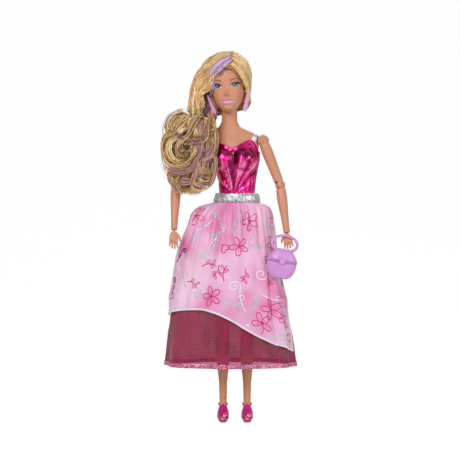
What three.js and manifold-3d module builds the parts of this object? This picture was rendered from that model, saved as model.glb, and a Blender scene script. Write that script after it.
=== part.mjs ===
// Articulated fashion doll with rooted hair, a party dress, shoes and a handbag.
// Millimetres, +Z up. The doll faces -Y and stands on its shoes at z = 0.
// Its own left is at +X.

import * as THREE from 'three';
import { mergeVertices } from 'three/addons/utils/BufferGeometryUtils.js';
import Module from 'manifold-3d';

const wasm = await Module();
wasm.setup();

// Stature
const ankleHeight = 19;
const shinLength = 52;
const thighLength = 87;
const torsoHeight = 98;
const crotchDrop = 8;
const hipHeight = ankleHeight + shinLength + thighLength;
const crotchHeight = hipHeight - crotchDrop;
const neckTopHeight = crotchHeight + torsoHeight;

// Torso: the section shares follow the chest's half sizes; turns are in radians
const chestHalfWidth = 17.6;
const chestHalfDepth = 12.2;
const bustRadius = 8.4;
const bustSpacing = 8.2;
const bustForwardShare = 0.63;
const bustUpShare = 0.575;
const bodyWall = 1.8;
const bodyTurn = -0.2;
const hipCentreShift = 2;
const waistShift = 3.6;
const neckShift = -2.4;

// Head and its ball joint
const headHeight = 43.6;
const headHalfWidth = 15;
const headHalfDepth = 17.2;
const headWall = 2.2;
const chinDrop = 9.2;
const headTilt = -0.092;
const headTurn = -0.11;
const frontPackingShare = 0.42;
const neckHoleRadius = 7.5;
const neckHoleRise = 0.9;
const pegStemRadius = 2.4;
const pegStemLength = 12;
const pegBallRadius = 4.2;
const stemRoom = 0.9;

// Arms, and how each one is posed
const shoulderHalf = 25.4;
const shoulderCentre = -1.5;
const shoulderTurnShare = 0.8;
const shoulderShare = 0.725;
const shoulderHeight = crotchHeight + shoulderShare * torsoHeight;
const shoulderBallRadius = 4.9;
const shoulderReach = 13.5;
const upperArmLength = 37.8;
const armHalfWidth = 4.4;
const elbowBallRadius = 4.1;
const elbowRange = 1.6;
const forearmLength = 38.6;
const handLength = 15.5;
const palmHalfWidth = 3.5;
const fingerRadius = 0.95;
const fingerSpreadShare = 1.12;
const fingerCurl = 1.5;
const wristPegLength = 4;
const pegRootShare = 0.15;
const rightArm = { swing: -0.1, splay: 0.485, twist: 1.13, bend: 0.49, roll: 0.1, pitch: 0 };
const leftArm = { swing: -0.09, splay: -0.368, twist: -1.01, bend: 0.28, roll: 0, pitch: 0.38 };

// Legs and shoes
const hipHalf = 9.5;
const legSwings = [0.27, 0, -0.4, -0.8, -1.2, -1.57];
const hipBallRadius = 8.2;
const thighHalfWidth = 8.2;
const kneeBallRadius = 5.6;
const kneeRange = 1.75;
const calfHalfWidth = 5.6;
const footLength = 21;
const footHalfWidth = 3.6;
const shoeWall = 0.9;
const soleHalfThickness = 0.7;
const toplineShare = 0.3;
const heelRadius = 2.2;
const heelSpikeShare = 0.2;

// Joint hardware
const armTongue = 2.8;
const hipTongue = 3.2;
const tongueWall = 1.2;
const tongueInset = 0.6;
const tongueNeckShare = 0.35;
const slotDepth = 1;
const flangeRadius = 2;
const flangeThickness = 1.4;
const pinRadius = 1;
const rodRadius = 0.9;
const rodEndInset = 3.5;
const hubBore = 5.2;
const runningGap = 0.1;
const clearance = 0.3;
const seamGap = 0.2;

// Dress
const clothThickness = 0.8;
const layerGap = 1.2;
const waistRise = 19.4;
const waistHeight = hipHeight + waistRise;
const seamDrop = 0.4;
const waistEase = layerGap + clothThickness + clearance;
const waistSqueezeShare = 0.66;
const skirtLength = 134;
const skirtHalfWidth = 50;
const skirtHalfDepth = 29;
const foldDepth = 1.3;
const foldStartShare = 0.25;
const netFlare = 4.2;
const netSink = 0.8;
const netRamp = 0.25;
const trimHeight = 3.4;
const trimThickness = 0.5;
const beltHeight = 7;
const beltRise = 2.3;
const beltThickness = 1.1;
const strapWidth = 4;
const strapInset = 1;
const strapShare = 0.729;
const armholeEase = 0.9;
const backlineShare = 0.6;
const fastenerHalfWidth = 2.6;
const fastenerThickness = 0.6;

// Hair
const hairThickness = 2.6;
const napeShare = 0.15;
const waveHalfWidth = 6;
const waveHalfDepth = 7;
const backLockHalfWidth = 11;
const backLockHalfDepth = 4.5;
const streakHalfWidth = 4.2;
const streakHalfThickness = 1;
const curlRadius = 10.4;
const curlFlatness = 0.82;
const curlsInner = -16.6;
const curlsWidth = 34;
const curlsForward = 12;
const curlsBulge = 5;
const curlsHeight = 62;
const curlsDrop = 6.8;
const curlsOver = 0.8;
const curlsTop = neckTopHeight - curlsDrop;
const curlsBase = curlsTop + curlsOver - curlsHeight;

// Earrings
const earringLength = 17;
const earringHalfWidth = 1.9;
const earringThickness = 1;
const earringSlant = 0.3;
const earHook = 3.4;

// Handbag
const bagHalfWidth = 12.6;
const bagHalfDepth = 6.6;
const bagLidHeight = 9.6;
const bagBowlHeight = 13.6;
const bagWall = 1.2;
const bagTilt = 0.157;
const bagAside = 0.8;
const bagForward = 5.3;
const bagDrop = 1.9;
const handleHalfWidth = 9.9;
const handleHalfHeight = 6.4;
const handleTubeRadius = 1.1;
const handleEndShare = 0.646;
const handleEyeRadius = 1.5;
const handlePinRadius = 0.6;
const handlePinInner = 3.2;
const hingeBarrelRadius = 1.1;
const hingePinRadius = 0.5;
const knuckleHalf = 2;
const claspWidth = 5;
const claspThickness = 1;
const studRadius = 0.8;
const studHeight = 0.6;
const studMiddle = 1.6;
const studSpacing = 3.4;

const overrun = 60;

// Colours and finishes
const finish = (color, roughness, metalness = 0) =>
  new THREE.MeshStandardMaterial({ color, roughness, metalness });
const skin = finish(0xd49a74, 0.45);
const vinyl = finish(0xd9a07c, 0.5);
const steel = finish(0xb9bcc0, 0.35, 0.9);
const blond = finish(0xd9b684, 0.5);
const lilacHair = finish(0xb591c4, 0.5);
const foil = finish(0xd6147c, 0.22, 0.8);
const glitter = finish(0xc9cccf, 0.35, 0.7);
const satin = finish(0xf0b4da, 0.35);
const net = finish(0xa5235a, 0.8);
const lilacPlastic = finish(0xcd8cd2, 0.4);
const earringPlastic = finish(0xdf9ac6, 0.35);
const shoePlastic = finish(0xd3267f, 0.3);
const hookLoop = finish(0xf2eef0, 0.9);

// Solids from geometries, and back

function solid(geometry) {
  const bare = geometry.clone();
  bare.deleteAttribute('normal');
  bare.deleteAttribute('uv');
  const merged = mergeVertices(bare);
  return new wasm.Manifold(
    new wasm.Mesh({
      numProp: 3,
      vertProperties: merged.attributes.position.array,
      triVerts: new Uint32Array(merged.index.array),
    }),
  );
}

function geometryOf(body) {
  const mesh = body.getMesh();
  const geometry = new THREE.BufferGeometry();
  geometry.setAttribute('position', new THREE.BufferAttribute(mesh.vertProperties, mesh.numProp));
  geometry.setIndex(new THREE.BufferAttribute(mesh.triVerts, 1));
  geometry.computeVertexNormals();
  return geometry;
}

function join(first, ...others) {
  return others.reduce((sum, other) => sum.add(other), first);
}

function cut(first, ...others) {
  return others.reduce((rest, other) => rest.subtract(other), first);
}

const doll = new THREE.Group();

function piece(parent, name, body, material) {
  const mesh = new THREE.Mesh(geometryOf(body), material);
  mesh.name = name;
  parent.add(mesh);
  return mesh;
}

function group(parent, x = 0, y = 0, z = 0) {
  const child = new THREE.Group();
  child.position.set(x, y, z);
  parent.add(child);
  return child;
}

// Plain solids, placed where they are used

function ball(radius, x = 0, y = 0, z = 0, sides = 12) {
  const geometry = new THREE.SphereGeometry(radius, sides, (2 * sides) / 3);
  geometry.translate(x, y, z);
  return solid(geometry);
}

function box(x0, x1, y0, y1, z0, z1) {
  const geometry = new THREE.BoxGeometry(x1 - x0, y1 - y0, z1 - z0);
  geometry.translate((x0 + x1) / 2, (y0 + y1) / 2, (z0 + z1) / 2);
  return solid(geometry);
}

// A round bar along one axis, from one coordinate to another
function bar(axis, radius, from, to, x = 0, y = 0, z = 0, sides = radius < handleEyeRadius ? 8 : 12) {
  const geometry = new THREE.CylinderGeometry(radius, radius, to - from, sides);
  geometry.translate(0, (from + to) / 2, 0);
  if (axis === 'x') geometry.rotateZ(-Math.PI / 2);
  if (axis === 'z') geometry.rotateX(Math.PI / 2);
  geometry.translate(x, y, z);
  return solid(geometry);
}

// A closed skin over rings of points, with a fan over each end
function skinOver(rings) {
  const sides = rings[0].length;
  const points = rings.flat();
  const centre = (ring) =>
    ring.reduce((sum, p) => sum.add(p), new THREE.Vector3()).divideScalar(ring.length);
  const first = points.push(centre(rings[0])) - 1;
  const last = points.push(centre(rings[rings.length - 1])) - 1;
  const faces = [];
  for (let row = 0; row + 1 < rings.length; row += 1) {
    for (let side = 0; side < sides; side += 1) {
      const a = row * sides + side;
      const b = row * sides + ((side + 1) % sides);
      faces.push(a, b, b + sides, a, b + sides, a + sides);
    }
  }
  const top = (rings.length - 1) * sides;
  for (let side = 0; side < sides; side += 1) {
    const next = (side + 1) % sides;
    faces.push(first, next, side);
    faces.push(last, top + side, top + next);
  }
  return closedSolid(points, faces);
}

// A solid from points and triangles, turned to face outwards
function closedSolid(points, faces) {
  let volume = 0;
  for (let i = 0; i < faces.length; i += 3) {
    const [a, b, c] = [points[faces[i]], points[faces[i + 1]], points[faces[i + 2]]];
    volume += a.dot(new THREE.Vector3().crossVectors(b, c));
  }
  const geometry = new THREE.BufferGeometry().setFromPoints(points);
  geometry.setIndex(volume > 0 ? faces : faces.reverse());
  return solid(geometry);
}

// Reads a table of shares at one place along it: rows of [place, share, share, ...]
function readShares(rows, at) {
  let row = 0;
  while (row + 2 < rows.length && rows[row + 1][0] < at) row += 1;
  const [low, high] = [rows[row], rows[row + 1]];
  const part = THREE.MathUtils.clamp((at - low[0]) / (high[0] - low[0]), 0, 1);
  return low.map((value, i) => value + (high[i] - value) * part);
}

// A limb down from the origin: rows of [down, across, deep, forward] shares
function limb(length, halfWidth, shares, sides = 12) {
  return skinOver(
    shares.map(([down, across, deep, forward = 0]) =>
      Array.from({ length: sides }, (_, i) => {
        const angle = (i / sides) * 2 * Math.PI;
        return new THREE.Vector3(
          Math.cos(angle) * across * halfWidth,
          (Math.sin(angle) * deep - forward) * halfWidth,
          -down * length,
        );
      }),
    ),
  );
}

// A tapering sweep along a smooth path: sizes gives half width and half height at each share
function sweep(path, sizes, steps, sides, up = new THREE.Vector3(0, 1, 0)) {
  const curve = new THREE.CatmullRomCurve3(path);
  const rings = [];
  for (let step = 0; step <= steps; step += 1) {
    const at = curve.getPoint(step / steps);
    const ahead = curve.getTangent(step / steps);
    const side = new THREE.Vector3().crossVectors(ahead, up).normalize();
    const over = new THREE.Vector3().crossVectors(side, ahead).normalize();
    const [wide, high] = sizes(step / steps);
    rings.push(
      Array.from({ length: sides }, (_, i) => {
        const angle = (i / sides) * 2 * Math.PI;
        return at
          .clone()
          .addScaledVector(side, Math.cos(angle) * wide)
          .addScaledVector(over, Math.sin(angle) * high);
      }),
    );
  }
  return skinOver(rings);
}

const place = (x, y, z) => new THREE.Vector3(x, y, z);

// Torso form: rows of [up, across, front, back, lean] shares, from the crotch to the neck top.
// Lean runs from the hips' centre (0) over to the waist's (1) or to the neck's (-1).
const torsoShares = [
  [0, 0.25, 0.55, 0.6, 0],
  [0.05, 0.75, 0.8, 0.95, 0],
  [0.1, 0.96, 0.88, 1.05, 0.2],
  [0.17, 0.97, 0.88, 1, 0.6],
  [0.225, 0.86, 0.82, 0.88, 0.9],
  [0.31, 0.75, 0.76, 0.75, 1],
  [0.41, 0.8, 0.82, 0.8, 0.95],
  [0.57, 0.98, 0.98, 1, 0.7],
  [0.645, 1.02, 0.96, 1, 0.4],
  [0.705, 1.12, 0.82, 0.94, -0.3],
  [0.755, 1.13, 0.62, 0.78, -0.8],
  [0.79, 0.96, 0.5, 0.64, -0.9],
  [0.812, 0.72, 0.48, 0.6, -0.92],
  [0.838, 0.46, 0.48, 0.54, -0.95],
  [0.88, 0.35, 0.44, 0.54, -1],
  [1, 0.34, 0.42, 0.56, -1],
];

// The body's middle, left or right of the part's axis, at a row's lean
function leanAt(lean) {
  const target = lean > 0 ? waistShift : neckShift;
  return hipCentreShift + (target - hipCentreShift) * Math.abs(lean);
}

// A place beside and in front of the torso's middle line, turned as the torso is turned
function onTorso(height, aside, forward) {
  const row = readShares(torsoShares, (height - crotchHeight) / torsoHeight);
  return place(
    leanAt(row[4]) + aside * Math.cos(bodyTurn) + forward * Math.sin(bodyTurn),
    aside * Math.sin(bodyTurn) - forward * Math.cos(bodyTurn),
    height,
  );
}

// A point on the torso, grown by extra, at an angle from the front
function torsoPoint(height, angle, extra) {
  const row = readShares(torsoShares, (height - crotchHeight) / torsoHeight);
  const across = row[1] * chestHalfWidth + extra;
  const deep = (Math.cos(angle) > 0 ? row[2] : row[3]) * chestHalfDepth + extra;
  return onTorso(height, across * Math.sin(angle), deep * Math.cos(angle));
}

function torsoForm(extra, sides = 16) {
  const rings = torsoShares.map(([up]) =>
    Array.from({ length: sides }, (_, i) =>
      torsoPoint(crotchHeight + up * torsoHeight, (i / sides) * 2 * Math.PI, extra),
    ),
  );
  const bustForward = bustForwardShare * chestHalfDepth;
  const busts = [-1, 1].map((side) => {
    const at = onTorso(crotchHeight + bustUpShare * torsoHeight, side * bustSpacing, bustForward);
    return ball(bustRadius + extra, at.x, at.y, at.z, 9);
  });
  return join(skinOver(rings), ...busts);
}

const hipX = (side) => hipCentreShift + side * hipHalf;
const shoulderX = (side) => shoulderCentre + side * shoulderHalf;
const shoulderY = (side) => side * shoulderTurnShare * shoulderHalf * Math.sin(bodyTurn);
const neckX = leanAt(-1);
const upTorso = (share) => crotchHeight + share * torsoHeight;
const everywhere = (z0, z1) => box(-overrun, overrun, -overrun, overrun, z0, z1);

function torsoHalves() {
  const cavity = torsoForm(-bodyWall, 9).intersect(
    everywhere(hipHeight + hipBallRadius + bodyWall, upTorso(0.77)),
  );
  const neckBore = bar(
    'z', pegStemRadius + runningGap, upTorso(0.74), neckTopHeight + overrun, neckX, 0, 0,
  );
  const shoulderCuts = [-1, 1].flatMap((side) => [
    ball(shoulderBallRadius + clearance, shoulderX(side), shoulderY(side), shoulderHeight),
    bar(
      'x', armTongue / 2 + clearance, Math.min(0, side * shoulderHalf), Math.max(0, side * shoulderHalf),
      shoulderCentre, shoulderY(side), shoulderHeight, 12,
    ),
  ]);
  const legRoom = hipBallRadius + clearance + runningGap;
  const hipCuts = [-1, 1].flatMap((side) => [
    ball(legRoom, hipX(side), 0, hipHeight),
    ...legSwings.map((swing) =>
      solid(geometryOf(bar('z', legRoom, -overrun, 0)).rotateX(swing).translate(hipX(side), 0, hipHeight)),
    ),
  ]);
  const rodBore = bar('x', rodRadius + runningGap, -hipHalf, hipHalf, hipCentreShift, 0, hipHeight);
  const whole = cut(torsoForm(0), cavity, neckBore, ...shoulderCuts, ...hipCuts, rodBore);
  const front = box(-overrun, overrun, -overrun, -seamGap / 2, 0, neckTopHeight + overrun);
  const back = box(-overrun, overrun, seamGap / 2, overrun, 0, neckTopHeight + overrun);
  piece(doll, 'torso_front', whole.intersect(front), skin);
  piece(doll, 'torso_back', whole.intersect(back), skin);
  const rodHalf = hipHalf - rodEndInset;
  piece(doll, 'hip_rod', bar('x', rodRadius, -rodHalf, rodHalf, hipCentreShift, 0, hipHeight), steel);
}

// A fork and tongue hinge between two limbs. Both forms hang down from their own origin; the
// upper's grown copy, folded onto the lower, cuts the room that the bend needs.
function hingedPair(upperForm, upperLength, lowerForm, ballRadius, tongue, bends) {
  const knob = ball(ballRadius, 0, 0, -upperLength);
  const slot = box(
    -tongue / 2 - clearance, tongue / 2 + clearance, -overrun, overrun, -upperLength - overrun, 0,
  );
  const slotRound = bar('x', ballRadius + slotDepth, -overrun, overrun, 0, 0, -upperLength, 14);
  const hole = bar('x', pinRadius + runningGap, -overrun, overrun);
  const highHole = bar('x', pinRadius + runningGap, -overrun, overrun, 0, 0, -upperLength);
  const upper = cut(join(upperForm(0), knob), slot.intersect(slotRound), highHole);
  const folded = bends.map((bend) => {
    const geometry = geometryOf(upperForm(clearance));
    geometry.translate(0, 0, upperLength);
    geometry.rotateX(bend);
    return solid(geometry);
  });
  const shell = cut(lowerForm, ball(ballRadius + clearance), ...folded);
  const disc = bar('x', ballRadius - tongueInset, -tongue / 2, tongue / 2, 0, 0, 0, 16);
  const neckHalf = tongueNeckShare * ballRadius;
  const neckEnd = ballRadius + slotDepth - clearance / 2;
  const neck = box(-tongue / 2, tongue / 2, -neckHalf, neckHalf, -neckEnd, 0);
  const lower = cut(join(shell, disc, neck), hole);
  const pinHalf = Math.sqrt(ballRadius ** 2 - pinRadius ** 2) - clearance;
  return { upper, lower, pin: bar('x', pinRadius, -pinHalf, pinHalf) };
}

// The ball at a limb's root, slotted for the hub's tongue, which enters from the inner side
function rootSlot(ballRadius, tongue, side) {
  const slab = box(
    -overrun, overrun, -tongue / 2 - clearance, tongue / 2 + clearance, -overrun, overrun,
  );
  const round = bar('y', ballRadius - tongueWall + clearance, -overrun, overrun);
  const room = tongue / 2 + clearance;
  const inward = side < 0 ? box(-room, overrun, -overrun, overrun, -room, overrun)
    : box(-overrun, room, -overrun, overrun, -room, overrun);
  const hole = bar('y', pinRadius + runningGap, -overrun, overrun);
  return [slab.intersect(join(round, inward)), hole];
}

function hub(ballRadius, tongue, side, reach, bore, flange) {
  const inner = -side * reach;
  const disc = bar('y', ballRadius - tongueWall, -tongue / 2, tongue / 2, 0, 0, 0, 16);
  const axle = bar('x', tongue / 2, Math.min(0, inner), Math.max(0, inner), 0, 0, 0, 12);
  const hole = bar('y', pinRadius + runningGap, -overrun, overrun);
  const parts = [disc, axle];
  if (flange) {
    const from = inner + side * flangeThickness;
    parts.push(bar('x', flangeRadius, Math.min(inner, from), Math.max(inner, from), 0, 0, 0, 12));
  }
  const cuts = [hole];
  if (bore) cuts.push(bar('x', rodRadius + runningGap, Math.min(inner, inner + side * bore) - seamGap,
    Math.max(inner, inner + side * bore) + seamGap));
  return cut(join(...parts), ...cuts);
}

function rootPin(ballRadius) {
  const half = Math.sqrt(ballRadius ** 2 - pinRadius ** 2) - clearance;
  return bar('y', pinRadius, -half, half);
}

function turned(body, angle) {
  return solid(geometryOf(body).rotateZ(angle));
}

// Limb sections: rows of [down, across, deep, forward] shares of the length and half width
const upperArmShares = [
  [0.05, 0.8, 0.8], [0.14, 0.98, 0.98], [0.3, 1, 1.04], [0.5, 0.93, 0.98],
  [0.75, 0.88, 0.9], [0.93, 0.84, 0.84],
];
const forearmShares = [
  [0.04, 0.74, 0.74], [0.1, 0.88, 0.88], [0.25, 0.94, 0.94], [0.45, 0.87, 0.84],
  [0.65, 0.76, 0.7], [0.85, 0.68, 0.6], [1, 0.66, 0.56],
];
const palmShares = [
  [0.08, 0.6, 0.5], [0.16, 0.74, 0.5], [0.3, 1, 0.46], [0.45, 1.02, 0.42], [0.56, 0.98, 0.34],
];
const thighShares = [
  [0.03, 0.7, 0.7], [0.1, 0.98, 0.98], [0.25, 1, 1.04, 0.04], [0.45, 0.9, 0.98, 0.04],
  [0.65, 0.78, 0.84, 0.02], [0.82, 0.69, 0.7], [0.965, 0.62, 0.62],
];
const shinShares = [
  [0.05, 0.84, 0.84], [0.12, 0.95, 0.96], [0.26, 1.02, 1.08, -0.12], [0.4, 0.98, 1.04, -0.16],
  [0.6, 0.78, 0.82, -0.1], [0.8, 0.58, 0.62, -0.04], [1.02, 0.54, 0.6, 0],
];

function handSolid(side) {
  const palm = limb(handLength, palmHalfWidth, palmShares, 12);
  const knuckle = -0.5 * handLength;
  const parts = [];
  for (const [row, reach] of [[-0.72, 0.92], [-0.25, 1], [0.24, 0.98], [0.71, 0.88]]) {
    const path = [
      place(side * row * palmHalfWidth, 0, knuckle + fingerRadius),
      place(
        side * row * fingerSpreadShare * palmHalfWidth, -fingerCurl / 3,
        (knuckle - reach * handLength) / 2,
      ),
      place(side * row * fingerSpreadShare ** 2 * palmHalfWidth, -fingerCurl, -reach * handLength),
    ];
    parts.push(sweep(path, (t) => Array(2).fill(fingerRadius * (1 - 0.3 * t)), 2, 6));
  }
  const thumb = [
    place(-side * 0.55 * palmHalfWidth, 0, -0.16 * handLength),
    place(-side * 1.25 * palmHalfWidth, -fingerCurl / 2, -0.36 * handLength),
    place(-side * 1.5 * palmHalfWidth, -fingerCurl, -0.6 * handLength),
  ];
  parts.push(sweep(thumb, (t) => Array(2).fill(fingerRadius * (1.25 - 0.4 * t)), 2, 6));
  return join(palm, ...parts);
}

const arms = {};

function arm(side) {
  const name = side < 0 ? 'right' : 'left';
  const pose = side < 0 ? rightArm : leftArm;
  const upperForm = (extra) => limb(upperArmLength, armHalfWidth + extra, upperArmShares);
  const bends = [0.75, 1].map((share) => share * elbowRange);
  const elbow = hingedPair(
    upperForm, upperArmLength, limb(forearmLength, armHalfWidth, forearmShares),
    elbowBallRadius, armTongue, bends,
  );
  const slots = rootSlot(shoulderBallRadius, armTongue, side).map((body) => turned(body, -pose.twist));
  const hubGroup = group(doll, shoulderX(side), shoulderY(side), shoulderHeight);
  hubGroup.rotation.x = pose.swing;
  const armGroup = group(doll, shoulderX(side), shoulderY(side), shoulderHeight);
  armGroup.rotation.set(pose.swing, pose.splay, pose.twist);
  const elbowGroup = group(armGroup, 0, 0, -upperArmLength);
  elbowGroup.rotation.x = -pose.bend;
  const wristGroup = group(elbowGroup, 0, 0, -forearmLength - clearance);
  wristGroup.rotation.z = -pose.twist + pose.roll;
  const handGroup = group(wristGroup);
  handGroup.rotation.x = -pose.pitch;

  piece(
    hubGroup, `shoulder_hub_${name}`,
    hub(shoulderBallRadius, armTongue, side, shoulderReach, 0, true), skin,
  );
  piece(
    armGroup, `upper_arm_${name}`,
    cut(join(elbow.upper, ball(shoulderBallRadius)), ...slots), skin,
  );
  piece(armGroup, `shoulder_pin_${name}`, rootPin(shoulderBallRadius), steel).rotation.z = -pose.twist;
  const wristBore = bar(
    'z', pinRadius + runningGap, -forearmLength - overrun, -forearmLength + wristPegLength + clearance,
  );
  piece(armGroup, `elbow_pin_${name}`, elbow.pin, steel).position.z = -upperArmLength;
  piece(elbowGroup, `forearm_${name}`, cut(elbow.lower, wristBore), skin);
  const peg = bar('z', pinRadius, -pegRootShare * handLength, wristPegLength);
  const bent = geometryOf(handSolid(side)).rotateX(-pose.pitch);
  piece(wristGroup, `hand_${name}`, join(solid(bent), peg), vinyl);
  arms[name] = { armGroup, elbowGroup, wristGroup };
}

function footForm(extra) {
  const path = footPathShares.map(([forward, up]) => place(0, -forward * footLength, up * ankleHeight));
  const sizes = (t) => {
    const row = readShares(footShares, t);
    return [row[2] * footHalfWidth + extra, row[1] * footHalfWidth + extra];
  };
  const heel = ball(
    heelShare * footHalfWidth + extra, 0, heelBackShare * footLength, heelUpShare * ankleHeight, 6,
  );
  return join(sweep(path, sizes, 6, 8, place(1, 0, 0)), heel);
}

// The foot's middle line as [forward, up] shares of its length and the ankle height
const footPathShares = [[-0.06, 1.05], [0.02, 0.8], [0.2, 0.52], [0.42, 0.27], [0.62, 0.17], [0.8, 0.14]];
const footShares = [
  [0, 0.84, 0.92], [0.25, 0.8, 0.86], [0.5, 0.92, 0.74], [0.72, 1, 0.6], [0.9, 0.82, 0.5], [1, 0.5, 0.4],
];
const heelShare = 0.82;
const heelBackShare = 0.16;
const heelUpShare = 0.66;

function shoeSolid() {
  const upper = footForm(shoeWall + clearance).intersect(
    box(-overrun, overrun, -overrun, -toplineShare * footLength, -overrun, overrun),
  );
  const soleRow = [
    [-0.3, 0.5], [-0.12, 0.46], [0.06, 0.34], [0.24, 0.17], [0.42, 0.05], [0.62, 0.02], [0.84, 0.04],
  ];
  const solePath = soleRow.map(([forward, up]) => place(0, -forward * footLength, up * ankleHeight));
  const soleSizes = (t) => [footHalfWidth * (0.72 + 0.3 * Math.sin(Math.PI * t)), soleHalfThickness];
  const sole = sweep(solePath, soleSizes, 6, 8, place(0, 0, 1));
  const heelTop = place(0, heelSpikeShare * footLength, 0.47 * ankleHeight);
  const heelTip = place(0, heelSpikeShare * footLength, -clearance);
  const heelMiddle = heelTop.clone().lerp(heelTip, 0.5);
  const heel = sweep(
    [heelTop, heelMiddle, heelTip], (t) => Array(2).fill(heelRadius * (1 - 0.45 * t)), 2, 10,
  );
  const counter = footForm(shoeWall + clearance).intersect(
    box(-overrun, overrun, 0, overrun, 0.44 * ankleHeight, 0.72 * ankleHeight),
  );
  const whole = join(upper, sole, heel, counter).intersect(everywhere(0, overrun));
  return cut(whole, footForm(clearance));
}

function leg(side) {
  const name = side < 0 ? 'right' : 'left';
  const thighForm = (extra) => limb(thighLength, thighHalfWidth + extra, thighShares);
  const bends = [0.75, 1].map((share) => -share * kneeRange);
  const shinForm = join(
    limb(shinLength, calfHalfWidth, shinShares),
    solid(geometryOf(footForm(0)).translate(0, 0, -shinLength - ankleHeight)),
  );
  const knee = hingedPair(thighForm, thighLength, shinForm, kneeBallRadius, hipTongue, bends);
  const slots = rootSlot(hipBallRadius, hipTongue, side);
  const hipGroup = group(doll, hipX(side), 0, hipHeight);
  const kneeGroup = group(hipGroup, 0, 0, -thighLength);
  const reach = hipBallRadius - clearance;
  piece(hipGroup, `hip_hub_${name}`, hub(hipBallRadius, hipTongue, side, reach, hubBore, false), skin);
  piece(hipGroup, `thigh_${name}`, cut(join(knee.upper, ball(hipBallRadius)), ...slots), skin);
  piece(hipGroup, `hip_pin_${name}`, rootPin(hipBallRadius), steel);
  piece(hipGroup, `knee_pin_${name}`, knee.pin, steel).position.z = -thighLength;
  piece(kneeGroup, `shin_${name}`, knee.lower, skin);
  piece(kneeGroup, `shoe_${name}`, shoeSolid(), shoePlastic).position.z = -shinLength - ankleHeight;
}

// Head form: rows of [up, across, front, back] shares, from the chin to the crown
const headShares = [
  [0, 0.12, 0.66, -0.52], [0.02, 0.26, 0.76, -0.25], [0.05, 0.38, 0.84, 0.05], [0.1, 0.52, 0.88, 0.25],
  [0.16, 0.65, 0.9, 0.38], [0.22, 0.75, 0.9, 0.48], [0.3, 0.83, 0.9, 0.6], [0.38, 0.88, 0.9, 0.72],
  [0.47, 0.93, 0.89, 0.84], [0.56, 0.97, 0.9, 0.93], [0.65, 1, 0.91, 0.98], [0.74, 0.98, 0.86, 0.97],
  [0.82, 0.9, 0.76, 0.9], [0.89, 0.76, 0.6, 0.76], [0.945, 0.56, 0.42, 0.56], [0.98, 0.34, 0.25, 0.34],
  [1, 0.08, 0.06, 0.08],
];
// Swellings and hollows of the face: [aside, up, width, height, rise] shares
const faceShares = [
  [0, 0.335, 0.14, 0.035, 0.16], [0, 0.42, 0.11, 0.08, 0.06], [0, 0.195, 0.27, 0.035, 0.05],
  [0, 0.06, 0.26, 0.05, 0.05], [-0.42, 0.465, 0.22, 0.05, -0.06], [0.42, 0.465, 0.22, 0.05, -0.06],
];
const faceRowShares = [
  0, 0.03, 0.08, 0.14, 0.2, 0.26, 0.33, 0.4, 0.47, 0.56, 0.66, 0.76, 0.86, 0.94, 1,
];
const plainRowShares = [0, 0.06, 0.16, 0.3, 0.47, 0.65, 0.8, 0.9, 0.97, 1];

function headPoint(up, turn, extra, featured) {
  const angle = turn - frontPackingShare * Math.sin(turn);
  const row = readShares(headShares, up);
  const x = Math.sin(angle) * (row[1] * headHalfWidth + extra);
  const middle = (-(row[2] - row[3]) / 2) * headHalfDepth;
  const deep = ((row[2] + row[3]) / 2) * headHalfDepth + extra;
  let y = middle - Math.cos(angle) * deep;
  if (featured && Math.cos(angle) > 0) {
    for (const [aside, level, wide, high, rise] of faceShares) {
      const across = (x / headHalfWidth - aside) / wide;
      const along = (up - level) / high;
      y -= rise * headHalfDepth * Math.exp(-across * across - along * along) * Math.cos(angle);
    }
  }
  return place(x, y, -chinDrop + up * headHeight + (2 * up - 1) * extra);
}

function headForm(extra, featured = false, sides = 16) {
  const rows = featured ? faceRowShares : plainRowShares;
  return skinOver(
    rows.map((up) =>
      Array.from({ length: sides }, (_, i) =>
        headPoint(up, (i / sides) * 2 * Math.PI - Math.PI, extra, featured),
      ),
    ),
  );
}

// The smooth path of a lock of hair, as shares of the head's half width, half depth and height
function lock(shares, sizes, steps, sides, up) {
  const path = shares.map(([x, y, z]) =>
    place(x * headHalfWidth, y * headHalfDepth, -chinDrop + z * headHeight),
  );
  return sweep(path, sizes, steps, sides, up);
}

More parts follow.
